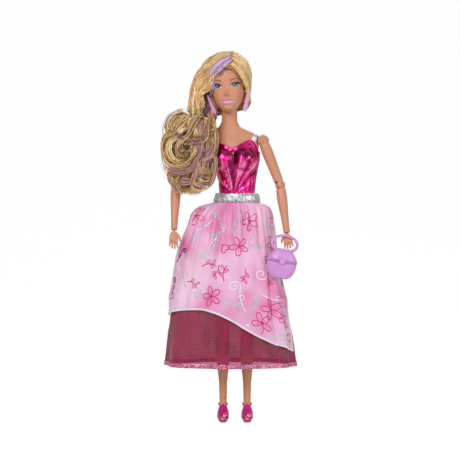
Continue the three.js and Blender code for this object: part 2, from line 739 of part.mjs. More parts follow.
function head() {
  const pivotHeight = neckTopHeight + pegBallRadius + clearance;
  const peg = join(
    bar('z', pegStemRadius, neckTopHeight - pegStemLength, pivotHeight, neckX, 0, 0),
    ball(pegBallRadius, neckX, 0, pivotHeight),
  );
  piece(doll, 'neck_peg', peg, vinyl);

  const headGroup = group(doll, neckX, 0, pivotHeight);
  headGroup.rotation.set(0, headTilt, headTurn);
  const cavity = headForm(-headWall, false, 8).intersect(everywhere(pegBallRadius * 0.7, overrun));
  const neckRoom = bar('z', neckHoleRadius, -overrun, -pegBallRadius + neckHoleRise, 0, 0, 0, 16);
  const throat = bar('z', pegStemRadius + stemRoom, -overrun, 0);
  const socket = ball(pegBallRadius + clearance);
  piece(headGroup, 'head', cut(headForm(0, true, 18), cavity, neckRoom, throat, socket), vinyl);

  const crownOuter = headForm(hairThickness + clearance * 2);
  const faceWidth = 0.93 * headHalfWidth;
  const faceOpening = new THREE.SphereGeometry(1, 16, 10);
  faceOpening.scale(faceWidth, headHalfDepth, 0.42 * headHeight);
  faceOpening.translate(0, -headHalfDepth, -chinDrop + 0.37 * headHeight);
  const jawOpening = box(
    -overrun, overrun, -overrun, -0.2 * headHalfDepth, -overrun, -chinDrop + 0.42 * headHeight,
  );
  const belowNape = everywhere(-overrun, -chinDrop + napeShare * headHeight);
  const crown = cut(crownOuter, headForm(clearance * 2), solid(faceOpening), jawOpening, belowNape);
  piece(headGroup, 'hair_crown', crown, blond);

  const overCrown = headForm(hairThickness + clearance * 3.2);
  const wave = lock(
    [
      [-0.5, -0.25, 0.93], [-1.2, -0.3, 0.78], [-1.62, -0.38, 0.5], [-1.72, -0.42, 0.26],
      [-1.85, -0.46, 0.04],
    ],
    (t) => [waveHalfDepth * (0.72 + 0.4 * t), waveHalfWidth * (0.7 + 0.45 * t)],
    7, 10, place(1, 0, 0),
  );
  piece(headGroup, 'hair_wave', cut(wave, overCrown), blond);
  const back = lock(
    [[0, 0.85, 0.84], [-0.1, 1.14, 0.5], [-0.3, 1.14, 0.22], [-0.5, 0.95, 0.02]],
    (t) => [backLockHalfWidth * (1 - 0.1 * t), backLockHalfDepth * (1.05 - 0.2 * t)],
    6, 12, place(0, 1, 0),
  );
  piece(headGroup, 'hair_back', cut(back, overCrown), blond);
  const streak = lock(
    [[0.28, -0.6, 0.94], [-0.3, -0.93, 0.84], [-0.78, -0.88, 0.66], [-1, -0.6, 0.5]],
    (t) => [streakHalfWidth * (1 - 0.3 * t), streakHalfThickness],
    6, 8, place(0, -1, 0.4),
  );
  const streakOver = cut(streak, overCrown, wave);
  piece(headGroup, 'hair_streak', streakOver, lilacHair);

  for (const sideSign of [-1, 1]) {
    const name = sideSign < 0 ? 'right' : 'left';
    const drop = new THREE.Shape();
    drop.moveTo(-0.28 * earringHalfWidth, 0);
    drop.lineTo(0.28 * earringHalfWidth, 0);
    drop.lineTo(earringHalfWidth, -0.88 * earringLength);
    drop.lineTo(0, -earringLength);
    drop.lineTo(-earringHalfWidth, -0.88 * earringLength);
    drop.closePath();
    const plate = new THREE.ExtrudeGeometry(drop, { depth: earringThickness, bevelEnabled: false });
    plate.translate(0, earringThickness, -earringThickness / 2);
    plate.rotateX(Math.PI / 2);
    const hookEnd = -sideSign * earHook;
    const hook = bar('x', earringThickness / 2, Math.min(0, hookEnd), Math.max(0, hookEnd), 0, 0, 0, 8);
    const earring = piece(headGroup, `earring_${name}`, join(solid(plate), hook), earringPlastic);
    earring.position.set(
      sideSign * 1.08 * headHalfWidth, -0.3 * headHalfDepth, -chinDrop + 0.33 * headHeight,
    );
    earring.rotation.y = sideSign * earringSlant;
  }
}

// Dress

function bodice() {
  const shell = cut(torsoForm(clothThickness + clearance), torsoForm(clearance));
  const neckline = new THREE.Shape();
  const point = (across, up) => [across * chestHalfWidth, upTorso(up)];
  const outline = [
    point(-3, 1.2), point(-3, 0.63), point(-1.05, 0.63), point(-0.92, 0.725), point(-0.7, 0.725),
    point(0, 0.66), point(0.7, 0.725), point(0.92, 0.725), point(1.05, 0.63), point(3, 0.63), point(3, 1.2),
  ];
  neckline.moveTo(...outline[0]);
  outline.slice(1).forEach((at) => neckline.lineTo(...at));
  neckline.closePath();
  const frontCut = new THREE.ExtrudeGeometry(neckline, { depth: overrun, bevelEnabled: false });
  frontCut.rotateX(Math.PI / 2);
  const middle = onTorso(upTorso(0.66), 0, 0);
  frontCut.rotateZ(bodyTurn);
  frontCut.translate(middle.x, 0, 0);
  const backBox = box(-overrun, overrun, 0, overrun, upTorso(backlineShare), neckTopHeight + overrun);
  const backCut = solid(geometryOf(backBox).rotateZ(bodyTurn).translate(middle.x, 0, 0));
  const armholes = [-1, 1].map((side) =>
    ball(shoulderBallRadius + armholeEase, shoulderX(side), shoulderY(side), shoulderHeight),
  );
  piece(
    doll, 'bodice',
    cut(shell, solid(frontCut), backCut, everywhere(-overrun, waistHeight), ...armholes), foil,
  );
  for (const side of [-1, 1]) {
    const name = side < 0 ? 'right' : 'left';
    const at = shoulderX(side) - side * (shoulderBallRadius + clearance + strapWidth / 2 + strapInset);
    const [inner, outer] = [at - strapWidth / 2, at + strapWidth / 2];
    const split = shoulderY(side) * 0.7;
    const band = shell.intersect(
      join(
        box(inner, outer, -overrun, split, upTorso(strapShare), neckTopHeight),
        box(inner, outer, split, overrun, upTorso(backlineShare) + clearance, neckTopHeight),
      ),
    );
    const axleRoom = bar(
      'x', armTongue / 2 + armholeEase, -overrun, overrun, 0, shoulderY(side), shoulderHeight,
    );
    piece(doll, `strap_${name}`, cut(band, axleRoom, ...armholes), glitter);
  }
  const fastenerShell = cut(
    torsoForm(clothThickness + clearance * 2 + fastenerThickness),
    torsoForm(clothThickness + clearance * 2),
  );
  const fastener = fastenerShell.intersect(
    box(
      leanAt(0.8) - fastenerHalfWidth, leanAt(0.8) + fastenerHalfWidth, 0, overrun,
      upTorso(0.34), upTorso(backlineShare - 0.02),
    ),
  );
  piece(doll, 'back_fastener', fastener, hookLoop);
}

function belt() {
  const inner = waistEase + 2 * clearance;
  const shell = cut(torsoForm(inner + beltThickness), torsoForm(inner));
  const top = waistHeight + beltRise;
  piece(doll, 'belt', shell.intersect(everywhere(top - beltHeight, top)), glitter);
}

// Skirt outline: rows of [down, right side, left side, front, back] shares, below the belt
const skirtShares = [
  [0.055, 0.5, 0.56, 0.5, 0.52], [0.095, 0.635, 0.61, 0.62, 0.64], [0.15, 0.69, 0.62, 0.68, 0.7],
  [0.22, 0.76, 0.65, 0.74, 0.76], [0.3, 0.84, 0.68, 0.79, 0.81], [0.36, 0.9, 0.705, 0.83, 0.85],
  [0.5, 0.965, 0.765, 0.9, 0.91], [0.61, 1.02, 0.83, 0.94, 0.95], [0.71, 1.042, 0.89, 0.98, 0.98],
  [0.78, 1.055, 0.955, 1, 1], [0.89, 1.07, 1.01, 1.02, 1.02], [1, 1.085, 1.05, 1.04, 1.04],
];
const waistBandShare = 0.036;
// The overskirt's side edges swing open from the back of the waist: [down, share of half a turn]
const edgeShares = [[0, 0.93], [0.15, 0.88], [0.4, 0.66], [0.65, 0.49], [0.8, 0.44], [1, 0.42]];
// Its hem, by the share of half a turn from the front: the drop as a share of the skirt length
const hemShares = [
  [-1, 0.72], [-0.5, 0.71], [-0.26, 0.66], [-0.13, 0.65], [-0.07, 0.665], [0.07, 0.775],
  [0.22, 0.86], [0.42, 0.91], [1, 0.93],
];

// A point on the dress at a share down, an angle from the front and an inset from the outer layer
function skirtPoint(down, angle, inset) {
  const z = waistHeight - seamDrop - down * skirtLength;
  const waist = torsoPoint(z, angle, waistEase - inset * waistSqueezeShare);
  if (down <= waistBandShare) return waist;
  const row = readShares(skirtShares, down);
  const across = Math.sin(angle) < 0 ? row[1] : row[2];
  const deep = Math.cos(angle) > 0 ? row[3] : row[4];
  const settle = THREE.MathUtils.smoothstep(down, waistBandShare, foldStartShare);
  const fold = foldDepth * settle * (Math.cos(7 * angle + 0.6) + 0.4 * Math.cos(11 * angle + 2));
  return place(
    Math.sin(angle) * (across * skirtHalfWidth + fold - inset),
    -Math.cos(angle) * (deep * skirtHalfDepth + fold - inset),
    z,
  );
}

// A closed cloth solid from a grid of outer points and the same grid further in
function clothSolid(outer, inner, around) {
  const rows = outer.length;
  const columns = outer[0].length;
  const points = [...outer.flat(), ...inner.flat()];
  const inside = rows * columns;
  const faces = [];
  const quad = (a, b, c, d) => faces.push(a, b, c, a, c, d);
  const spans = around ? columns : columns - 1;
  for (let column = 0; column < spans; column += 1) {
    const next = (column + 1) % columns;
    for (let row = 0; row + 1 < rows; row += 1) {
      const [a, b] = [row * columns + column, row * columns + next];
      quad(a, a + columns, b + columns, b);
      quad(inside + a, inside + b, inside + b + columns, inside + a + columns);
    }
    const bottom = (rows - 1) * columns;
    quad(column, next, inside + next, inside + column);
    quad(bottom + column, inside + bottom + column, inside + bottom + next, bottom + next);
  }
  if (!around) {
    for (let row = 0; row + 1 < rows; row += 1) {
      const [a, b] = [row * columns, (row + 1) * columns];
      const [c, d] = [a + columns - 1, b + columns - 1];
      quad(a, inside + a, inside + b, b);
      quad(c, d, inside + d, inside + c);
    }
  }
  return closedSolid(points, faces);
}

const dressRowShares = [0, 0.036, 0.06, 0.11, 0.21, 0.34, 0.48, 0.64, 0.82, 1];

function skirts() {
  const columns = 30;
  const satinPoint = (row, column, inset) => {
    const aside = (column / (columns - 4)) * 2 - 1;
    const low = readShares(hemShares, aside * edgeShares[5][1])[1];
    const free = dressRowShares[4];
    const down = row <= free ? row : free + ((row - free) / (1 - free)) * (low - free);
    return skirtPoint(down, aside * readShares(edgeShares, down)[1] * Math.PI, inset);
  };
  const satinGrid = (inset) =>
    dressRowShares.map((row) =>
      Array.from({ length: columns - 3 }, (_, column) => satinPoint(row, column, inset)),
    );
  piece(doll, 'overskirt', clothSolid(satinGrid(0), satinGrid(clothThickness), false), satin);

  // The net stands out past the overskirt's open edges
  const netInset = (down, angle) => {
    const edge = readShares(edgeShares, down)[1] * Math.PI;
    const past = THREE.MathUtils.smoothstep(Math.abs(angle), edge + 1.3 * netRamp, edge + 2.6 * netRamp);
    const loose = THREE.MathUtils.smoothstep(down, 0.05, 0.25) * netSink;
    return clothThickness + layerGap + loose - past * netFlare * THREE.MathUtils.smoothstep(down, 0.25, 0.5);
  };
  const netGrid = (rows, extra) =>
    rows.map((row) =>
      Array.from({ length: columns }, (_, column) => {
        const angle = ((column + 0.5) / columns) * 2 * Math.PI - Math.PI;
        return skirtPoint(row, angle, netInset(row, angle) + extra);
      }),
    );
  piece(
    doll, 'petticoat',
    clothSolid(netGrid(dressRowShares, 0), netGrid(dressRowShares, clothThickness), true), net,
  );
  const trimRows = [1 - trimHeight / skirtLength, 1];
  const trim = clothSolid(
    netGrid(trimRows, -clearance - trimThickness), netGrid(trimRows, -clearance), true,
  );
  piece(doll, 'petticoat_trim', trim, glitter);
}

// Long curls over the right shoulder: [aside, height, size] shares of the mass, in front of the arm
const curlShares = [
  [-0.36, 0.93, 0.78, 0.55], [-0.08, 0.9, 0.6], [-0.56, 0.84, 0.7], [-0.3, 0.74, 0.88],
  [-0.8, 0.66, 0.84], [-0.3, 0.55, 1],
  [-0.82, 0.42, 0.96], [-0.28, 0.34, 0.92], [-0.6, 0.2, 0.95], [-0.05, 0.22, 0.72], [-0.35, 0.08, 0.6],
];

function curls() {
  doll.updateMatrixWorld(true);
  const shoulder = place(shoulderX(-1), shoulderY(-1), shoulderHeight);
  const elbow = arms.right.elbowGroup.getWorldPosition(place(0, 0, 0));
  const wrist = arms.right.wristGroup.getWorldPosition(place(0, 0, 0));
  const room = armHalfWidth + 2 * clearance;
  const armRoom = [[shoulder, elbow], [elbow, wrist]].map(([from, to]) =>
    sweep([from, from.clone().lerp(to, 0.5), to], () => [room * 1.16, room * 1.16], 1, 8),
  );
  const knobRoom = [ball(shoulderBallRadius + clearance, shoulder.x, shoulder.y, shoulder.z),
    ball(room * 1.16, elbow.x, elbow.y, elbow.z)];
  const lumps = curlShares.map(([aside, up, size, back = 0]) => {
    const geometry = new THREE.SphereGeometry(curlRadius * size, 8, 6);
    geometry.scale(1, curlFlatness, 1);
    geometry.translate(
      curlsInner + aside * curlsWidth,
      back * curlRadius - curlsForward - (1 - Math.abs(aside)) * curlsBulge,
      curlsBase + up * curlsHeight,
    );
    return solid(geometry);
  });
  const clear = torsoForm(clothThickness + clearance * 2 + clothThickness, 14);
  const aboveCurls = everywhere(curlsTop, 2 * curlsTop);
  piece(doll, 'hair_curls', cut(join(...lumps), clear, aboveCurls, ...armRoom, ...knobRoom), blond);
}

// Handbag: rows of [down, across, deep] shares
const lidShares = [[0, 0.44, 0.5], [0.14, 0.5, 0.56], [0.5, 0.72, 0.78], [0.85, 0.93, 0.96], [1, 1, 1]];
const bowlShares = [[0, 0.97, 0.97], [0.25, 0.95, 0.95], [0.5, 0.89, 0.9], [0.75, 0.78, 0.8], [1, 0.6, 0.62]];

function bagForm(height, rows, extra) {
  return skinOver(
    rows.map(([down, across, deep]) =>
      Array.from({ length: 16 }, (_, i) => {
        const angle = (i / 16) * 2 * Math.PI;
        return place(
          Math.cos(angle) * (across * bagHalfWidth + extra),
          Math.sin(angle) * (deep * bagHalfDepth + extra),
          -down * height,
        );
      }),
    ),
  );
}

function bag() {
  const hand = arms.left.wristGroup.getWorldPosition(place(0, 0, 0));
  const handleGroup = group(
    doll, hand.x - bagAside, hand.y - bagForward, hand.z - bagDrop,
  );
  handleGroup.rotation.y = bagTilt;
  const startAngle = Math.asin(handleEndShare);
  const steps = 14;
  const path = Array.from({ length: steps + 1 }, (_, i) => {
    const angle = Math.PI - startAngle - (i / steps) * 2 * (Math.PI - startAngle);
    return place(
      Math.sin(angle) * handleHalfWidth, 0, -handleHalfHeight + Math.cos(angle) * handleHalfHeight,
    );
  });
  const ring = sweep(path, () => [handleTubeRadius, handleTubeRadius], steps, 6);
  const endX = handleEndShare * handleHalfWidth;
  const endZ = -handleHalfHeight * (1 + Math.sqrt(1 - handleEndShare ** 2));
  const eyes = [-1, 1].map((side) =>
    bar('x', handleEyeRadius, side * endX - handleTubeRadius, side * endX + handleTubeRadius, 0, 0, endZ),
  );
  const eyeHole = bar('x', handlePinRadius + runningGap, -overrun, overrun, 0, 0, endZ, 12);
  piece(handleGroup, 'bag_handle', cut(join(ring, ...eyes), eyeHole), lilacPlastic);

  const lidGroup = group(handleGroup, 0, 0, endZ);
  const pinEnd = endX + handleTubeRadius + clearance;
  const lidRise = handlePinRadius + bagWall / 2;
  const blockHalf = endX - handleTubeRadius - clearance;
  const trimSides = box(-overrun, overrun, -overrun, overrun, -handleEyeRadius - clearance, overrun).subtract(
    box(-blockHalf, blockHalf, -overrun, overrun, -overrun, 2 * overrun),
  );
  const lidOuter = solid(geometryOf(bagForm(bagLidHeight, lidShares, 0)).translate(0, 0, lidRise));
  const lidInner = solid(
    geometryOf(bagForm(bagLidHeight, lidShares, -bagWall)).translate(0, 0, lidRise - bagWall - lidRise * 2),
  );
  const seamZ = lidRise - bagLidHeight;
  const hingeY = bagHalfDepth + hingeBarrelRadius + seamGap;
  const hingeHole = bar('x', hingePinRadius + runningGap, -overrun, overrun, 0, hingeY, seamZ, 10);
  const lidKnuckle = join(
    bar('x', hingeBarrelRadius, -knuckleHalf, knuckleHalf, 0, hingeY, seamZ, 12),
    box(-knuckleHalf, knuckleHalf, bagHalfDepth * 0.8, hingeY, seamZ + clearance, seamZ + hingeBarrelRadius),
  );
  const sideHoles = bar('x', handlePinRadius + runningGap, -overrun, overrun, 0, 0, 0, 12);
  piece(
    lidGroup, 'bag_lid',
    cut(join(lidOuter, lidKnuckle), lidInner, trimSides, sideHoles, hingeHole), lilacPlastic,
  );
  for (const side of [-1, 1]) {
    const name = side < 0 ? 'right' : 'left';
    const from = side * handlePinInner;
    const to = side * pinEnd;
    piece(
      lidGroup, `handle_pin_${name}`,
      bar('x', handlePinRadius, Math.min(from, to), Math.max(from, to), 0, 0, 0, 12), steel,
    );
    piece(
      lidGroup, `bag_stud_${name}`,
      bar(
        'y', studRadius, -studHeight, 0, studMiddle + side * studSpacing / 2,
        -0.57 * bagHalfDepth - clearance, lidRise - 0.16 * bagLidHeight, 10,
      ),
      lilacPlastic,
    );
  }
  const heart = new THREE.Shape();
  heart.moveTo(0, -0.55 * claspWidth);
  heart.bezierCurveTo(
    -0.9 * claspWidth, 0, -0.45 * claspWidth, 0.62 * claspWidth, 0, 0.2 * claspWidth,
  );
  heart.bezierCurveTo(
    0.45 * claspWidth, 0.62 * claspWidth, 0.9 * claspWidth, 0, 0, -0.55 * claspWidth,
  );
  const claspForm = { depth: claspThickness, bevelEnabled: false, curveSegments: 8 };
  const clasp = new THREE.ExtrudeGeometry(heart, claspForm);
  clasp.rotateX(Math.PI / 2);
  clasp.translate(0, -bagHalfDepth - clearance, seamZ);
  piece(lidGroup, 'bag_clasp', solid(clasp), lilacPlastic);

  const bowlForm = geometryOf(bagForm(bagBowlHeight, bowlShares, 0));
  const bowlOuter = solid(bowlForm.translate(0, 0, seamZ - clearance));
  const bowlInner = solid(
    geometryOf(bagForm(bagBowlHeight, bowlShares, -bagWall)).translate(0, 0, seamZ - clearance + bagWall),
  );
  const bowlKnuckles = [-1, 1].map((side) => {
    const near = side * (knuckleHalf + clearance);
    const far = side * (2 * knuckleHalf + clearance);
    const [a, b] = [Math.min(near, far), Math.max(near, far)];
    return join(
      bar('x', hingeBarrelRadius, a, b, 0, hingeY, seamZ, 12),
      box(a, b, bagHalfDepth * 0.8, hingeY, seamZ - hingeBarrelRadius, seamZ - clearance),
    );
  });
  piece(
    lidGroup, 'bag_bowl', cut(join(bowlOuter, ...bowlKnuckles), bowlInner, hingeHole), lilacPlastic,
  );
  const hingeHalf = 2 * knuckleHalf + clearance;
  piece(
    lidGroup, 'bag_hinge_pin',
    bar('x', hingePinRadius, -hingeHalf, hingeHalf, 0, hingeY, seamZ, 10), steel,
  );
}

torsoHalves();
arm(-1);
arm(1);
leg(-1);
leg(1);
head();
bodice();
belt();
skirts();
curls();
bag();

export default doll;
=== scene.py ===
"""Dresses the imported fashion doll: smooth skin and face, locks of hair, party dress, shoes and bag."""

import math

import bmesh
import bpy
import numpy as np
from bpy.props import FloatProperty, FloatVectorProperty, IntProperty, PointerProperty
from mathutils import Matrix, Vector
from mathutils.bvhtree import BVHTree


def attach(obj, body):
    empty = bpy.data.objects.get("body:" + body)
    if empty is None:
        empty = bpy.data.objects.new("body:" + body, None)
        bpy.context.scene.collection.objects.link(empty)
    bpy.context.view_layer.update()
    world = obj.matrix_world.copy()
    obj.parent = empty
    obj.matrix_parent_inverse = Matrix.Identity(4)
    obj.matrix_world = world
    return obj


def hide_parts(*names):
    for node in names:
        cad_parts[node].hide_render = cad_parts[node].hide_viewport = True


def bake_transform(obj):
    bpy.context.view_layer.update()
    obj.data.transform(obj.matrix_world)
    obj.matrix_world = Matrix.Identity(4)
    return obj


bl_info = {
    "name": "Fashion doll",
    "version": (1, 0, 0),
    "blender": (4, 5, 0),
    "location": "3D View > Sidebar > Doll",
    "description": "Skin, face, hair, dress, shoes and bag of a jointed fashion doll",
    "category": "Object",
}

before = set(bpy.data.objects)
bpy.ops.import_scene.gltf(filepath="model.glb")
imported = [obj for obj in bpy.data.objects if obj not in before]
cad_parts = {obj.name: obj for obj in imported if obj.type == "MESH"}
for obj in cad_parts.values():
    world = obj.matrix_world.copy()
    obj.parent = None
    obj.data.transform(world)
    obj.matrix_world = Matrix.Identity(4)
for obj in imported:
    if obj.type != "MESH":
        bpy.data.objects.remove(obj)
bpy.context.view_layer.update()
MM = 0.001


# Colours and shader building


def tint(red, green, blue):
    """A colour given in 0 to 255, as the linear colour that a shader wants."""
    share = np.array([red, green, blue]) / 255
    linear = np.where(share <= 0.04045, share / 12.92, ((share + 0.055) / 1.055) ** 2.4)
    return tuple(float(value) for value in linear)


def full(colour):
    return (*colour, 1.0)


def deeper(colour, share):
    return tuple(value * share for value in colour)


class NodeDesk:
    """Adds and joins the nodes of one tree."""

    def __init__(self, tree):
        self.tree = tree

    def feed(self, socket, value):
        if isinstance(value, bpy.types.NodeSocket):
            self.tree.links.new(value, socket)
        else:
            socket.default_value = value

    def add(self, kind, settings=None, **sockets):
        node = self.tree.nodes.new(kind)
        for key, value in (settings or {}).items():
            setattr(node, key, value)
        for key, value in sockets.items():
            self.feed(node.inputs[key.replace("_", " ")], value)
        return node

    def use(self, name, **sockets):
        """Places a shared effect and gives its outputs."""
        return self.add("ShaderNodeGroup", {"node_tree": bpy.data.node_groups[name]}, **sockets).outputs

    def place(self, kind="Object"):
        return self.add("ShaderNodeTexCoord").outputs[kind]

    def stored(self, name, kind="Fac"):
        return self.add("ShaderNodeAttribute", {"attribute_name": name}).outputs[kind]

    def noise(self, place, scale, detail, distortion=0.0):
        return self.add(
            "ShaderNodeTexNoise", Vector=place, Scale=scale, Detail=detail, Distortion=distortion
        ).outputs["Fac"]

    def mix(self, share, first, second, blend="MIX"):
        node = self.add("ShaderNodeMix", {"data_type": "RGBA", "blend_type": blend})
        for index, value in ((0, share), (6, first), (7, second)):
            self.feed(node.inputs[index], value)
        return node.outputs[2]

    def sums(self, operation, first, second):
        node = self.add("ShaderNodeMath", {"operation": operation})
        self.feed(node.inputs[0], first)
        self.feed(node.inputs[1], second)
        return node.outputs[0]

    def spread(self, *numbers):
        """A value between two numbers, mapped to 0 to 1 or to two other numbers."""
        node = self.add("ShaderNodeMapRange")
        for index, number in enumerate(numbers):
            self.feed(node.inputs[index], number)
        return node.outputs[0]

    def ramp(self, value, *stops):
        """A colour ramp through (place, colour) stops, from one at 0 to one at 1."""
        node = self.add("ShaderNodeValToRGB", Fac=value)
        elements = node.color_ramp.elements
        elements[0].color, elements[1].color = full(stops[0][1]), full(stops[-1][1])
        for place, colour in stops[1:-1]:
            elements.new(place).color = full(colour)
        return node.outputs["Color"]

    def wear(self, shader, colour, height, depth, roughness=None):
        """Gives a finish its colour, its relief and, where it varies, its roughness."""
        self.feed(shader["Base Color"], colour)
        if roughness is not None:
            self.feed(shader["Roughness"], roughness)
        bump = self.add("ShaderNodeBump", Height=height, Distance=depth, Strength=1.0)
        self.feed(shader["Normal"], bump.outputs["Normal"])


def effect(name, setting, value, *titles):
    """A shader group that takes a place and a number; gives its desk, inputs and outputs to fill."""
    tree = bpy.data.node_groups.new(name, "ShaderNodeTree")
    tree.interface.new_socket("Vector", in_out="INPUT", socket_type="NodeSocketVector")
    socket = tree.interface.new_socket(setting, in_out="INPUT", socket_type="NodeSocketFloat")
    socket.default_value = value
    for title in titles:
        tree.interface.new_socket(title, in_out="OUTPUT", socket_type="NodeSocketFloat")
    entry, leave = tree.nodes.new("NodeGroupInput"), tree.nodes.new("NodeGroupOutput")
    return NodeDesk(tree), entry.outputs, leave.inputs


def build_effects():
    """The effects that several finishes share: moulded grain, hair fibres, glitter, woven threads."""
    desk, given, out = effect("Moulded grain", "Fine", 900.0, "Cloud", "Grain")
    desk.feed(out["Cloud"], desk.noise(given["Vector"], 60.0, 3.0))
    desk.feed(out["Grain"], desk.noise(given["Vector"], given["Fine"], 2.0))

    desk, given, out = effect("Hair fibres", "Tone", 0.5, "Shade", "Fibre")
    stretched = desk.add("ShaderNodeVectorMath", {"operation": "MULTIPLY"})
    desk.feed(stretched.inputs[0], given["Vector"])
    stretched.inputs[1].default_value = (14.0, 0.5, 14.0)
    fibre = desk.noise(stretched.outputs[0], 1.0, 3.0)
    bands = desk.spread(desk.noise(given["Vector"], 1.6, 1.0), 0.35, 0.65, -0.14, 0.14)
    shade = desk.sums("ADD", desk.spread(fibre, 0.3, 0.7, -0.3, 0.3), given["Tone"])
    desk.feed(out["Shade"], desk.sums("ADD", shade, bands))
    desk.feed(out["Fibre"], fibre)

    desk, given, out = effect("Glitter", "Size", 1400.0, "Sparkle", "Facet")
    flakes = desk.add("ShaderNodeTexVoronoi", Vector=given["Vector"], Scale=given["Size"])
    parts = desk.add("ShaderNodeSeparateColor", Color=flakes.outputs["Color"]).outputs
    desk.feed(out["Sparkle"], parts[0])
    desk.feed(out["Facet"], parts[1])

    desk, given, out = effect("Woven threads", "Across", 300.0, "Thread", "Open")
    waves = []
    for axis in "XY":
        wave = desk.add(
            "ShaderNodeTexWave", {"bands_direction": axis}, Vector=given["Vector"],
            Scale=given["Across"], Distortion=0.6, Detail=1.0,
        )
        waves.append(wave.outputs["Fac"])
    thread = desk.sums("MAXIMUM", *waves)
    desk.feed(out["Thread"], thread)
    desk.feed(out["Open"], desk.spread(thread, 0.5, 0.85))


def new_finish(name, roughness, metallic=0.0, **sockets):
    material = bpy.data.materials.new(name)
    material.use_nodes = True
    shader = material.node_tree.nodes["Principled BSDF"].inputs
    shader["Roughness"].default_value = roughness
    shader["Metallic"].default_value = metallic
    for key, value in sockets.items():
        shader[key.replace("_", " ")].default_value = value
    return material, NodeDesk(material.node_tree), shader


def moulded(name, colour, roughness, shade, **sockets):
    """Moulded plastic or vinyl: slightly clouded colour and a fine grain."""
    material, desk, shader = new_finish(name, roughness, **sockets)
    marks = desk.use("Moulded grain", Vector=desk.place())
    clouded = desk.mix(desk.spread(marks["Cloud"], 0.35, 0.65), full(deeper(colour, 1 - shade)), full(colour))
    rough = desk.spread(marks["Grain"], 0.3, 0.7, roughness - 0.05, roughness + 0.07)
    desk.wear(shader, clouded, marks["Grain"], 0.03 * MM, rough)
    return material


def hair_finish(name, dark, middle, light, coordinates="UV"):
    """Nylon hair: fine fibres along each lock, between a shadow and a highlight colour."""
    material, desk, shader = new_finish(name, 0.36, Sheen_Weight=0.15)
    tone = 0.42 if coordinates == "Object" else desk.stored("tone")
    strands = desk.use("Hair fibres", Vector=desk.place(coordinates), Tone=tone)
    colour = desk.ramp(strands["Shade"], (0, dark), (0.5, middle), (1, light))
    desk.wear(shader, colour, strands["Fibre"], 0.12 * MM)
    return material


def glitter_finish(name, dark, light, size, metallic=0.7):
    material, desk, shader = new_finish(name, 0.3, metallic)
    flakes = desk.use("Glitter", Vector=desk.place(), Size=size)
    colour = desk.mix(flakes["Sparkle"], full(dark), full(light))
    desk.wear(shader, colour, flakes["Facet"], 0.12 * MM, desk.spread(flakes["Facet"], 0.0, 1.0, 0.12, 0.6))
    return material


def face_finish():
    material, desk, shader = new_finish("Painted face", 0.4, Specular_IOR_Level=0.4)
    marks = desk.use("Moulded grain", Vector=desk.place(), Fine=1000.0)
    cloud = desk.spread(marks["Cloud"], 0.35, 0.65, 0.95, 1.0)
    colour = desk.mix(1.0, desk.stored("paint", "Color"), cloud, "MULTIPLY")
    rough = desk.spread(desk.stored("gloss"), 0.0, 1.0, 0.42, 0.12)
    desk.wear(shader, colour, marks["Grain"], 0.02 * MM, rough)
    return material


def foil_finish(foil):
    """Crumpled metallic foil, coloured by the painted light and shade of its folds that the bodice stores."""
    material, desk, shader = new_finish("Magenta foil", 0.2, 0.85, Coat_Weight=0.25, Coat_Roughness=0.1)
    spot = desk.place()
    broad = desk.spread(desk.noise(spot, 110.0, 3.0, 0.8), 0.3, 0.7, -0.13, 0.13)
    crumple = desk.noise(spot, 420.0, 3.0)
    # The ramp runs from deep painted shade up to a pale painted highlight.
    colour = desk.ramp(
        desk.sums("ADD", broad, desk.stored("fold")),
        (0, deeper(foil, 0.1)), (0.32, deeper(foil, 0.4)), (0.62, foil), (1, tint(255, 150, 205)),
    )
    desk.wear(shader, colour, crumple, 0.2 * MM, desk.spread(crumple, 0.3, 0.7, 0.14, 0.32))
    return material


def satin_finish(satin):
    """Pale satin with soft pink patches, whitish patches painted as the satin's sheen, and a fine weave."""
    material, desk, shader = new_finish("Printed satin", 0.34, Sheen_Weight=0.35, Sheen_Roughness=0.4)
    spot = desk.place()
    patch = desk.spread(desk.noise(spot, 24.0, 2.5, 0.4), 0.44, 0.64)
    colour = desk.mix(patch, full(satin), full(tint(232, 92, 160)))
    # The whitish patches are painted sheen on the satin.
    whitened = desk.spread(desk.noise(spot, 17.0, 1.5), 0.48, 0.64, 0.0, 0.6)
    colour = desk.mix(whitened, colour, full(tint(252, 226, 244)))
    thread = desk.use("Woven threads", Vector=desk.place("UV"), Across=420.0)["Thread"]
    colour = desk.mix(desk.spread(thread, 0.2, 0.9, 0.0, 0.12), colour, full(deeper(satin, 0.8)))
    desk.wear(shader, colour, thread, 0.04 * MM, desk.spread(thread, 0.0, 1.0, 0.28, 0.42))
    return material


def net_finish(net):
    """Sheer net: a weave that lets the legs show through."""
    material, desk, shader = new_finish("Sheer net", 0.55, Sheen_Weight=0.2)
    threads = desk.use("Woven threads", Vector=desk.place("UV"), Across=260.0)
    share = desk.spread(desk.noise(desk.place(), 45.0, 2.0), 0.35, 0.65)
    desk.feed(shader["Alpha"], desk.spread(threads["Open"], 0.0, 1.0, 0.44, 0.74))
    desk.wear(shader, desk.mix(share, full(deeper(net, 0.7)), full(net)), threads["Thread"], 0.04 * MM)
    return material


def tape_finish():
    material, desk, shader = new_finish("Hook and loop tape", 0.9)
    loops = desk.add("ShaderNodeTexVoronoi", Vector=desk.place(), Scale=1800.0).outputs["Distance"]
    desk.wear(shader, desk.mix(loops, full(tint(248, 244, 246)), full(tint(214, 206, 210))), loops, 0.2 * MM)
    return material


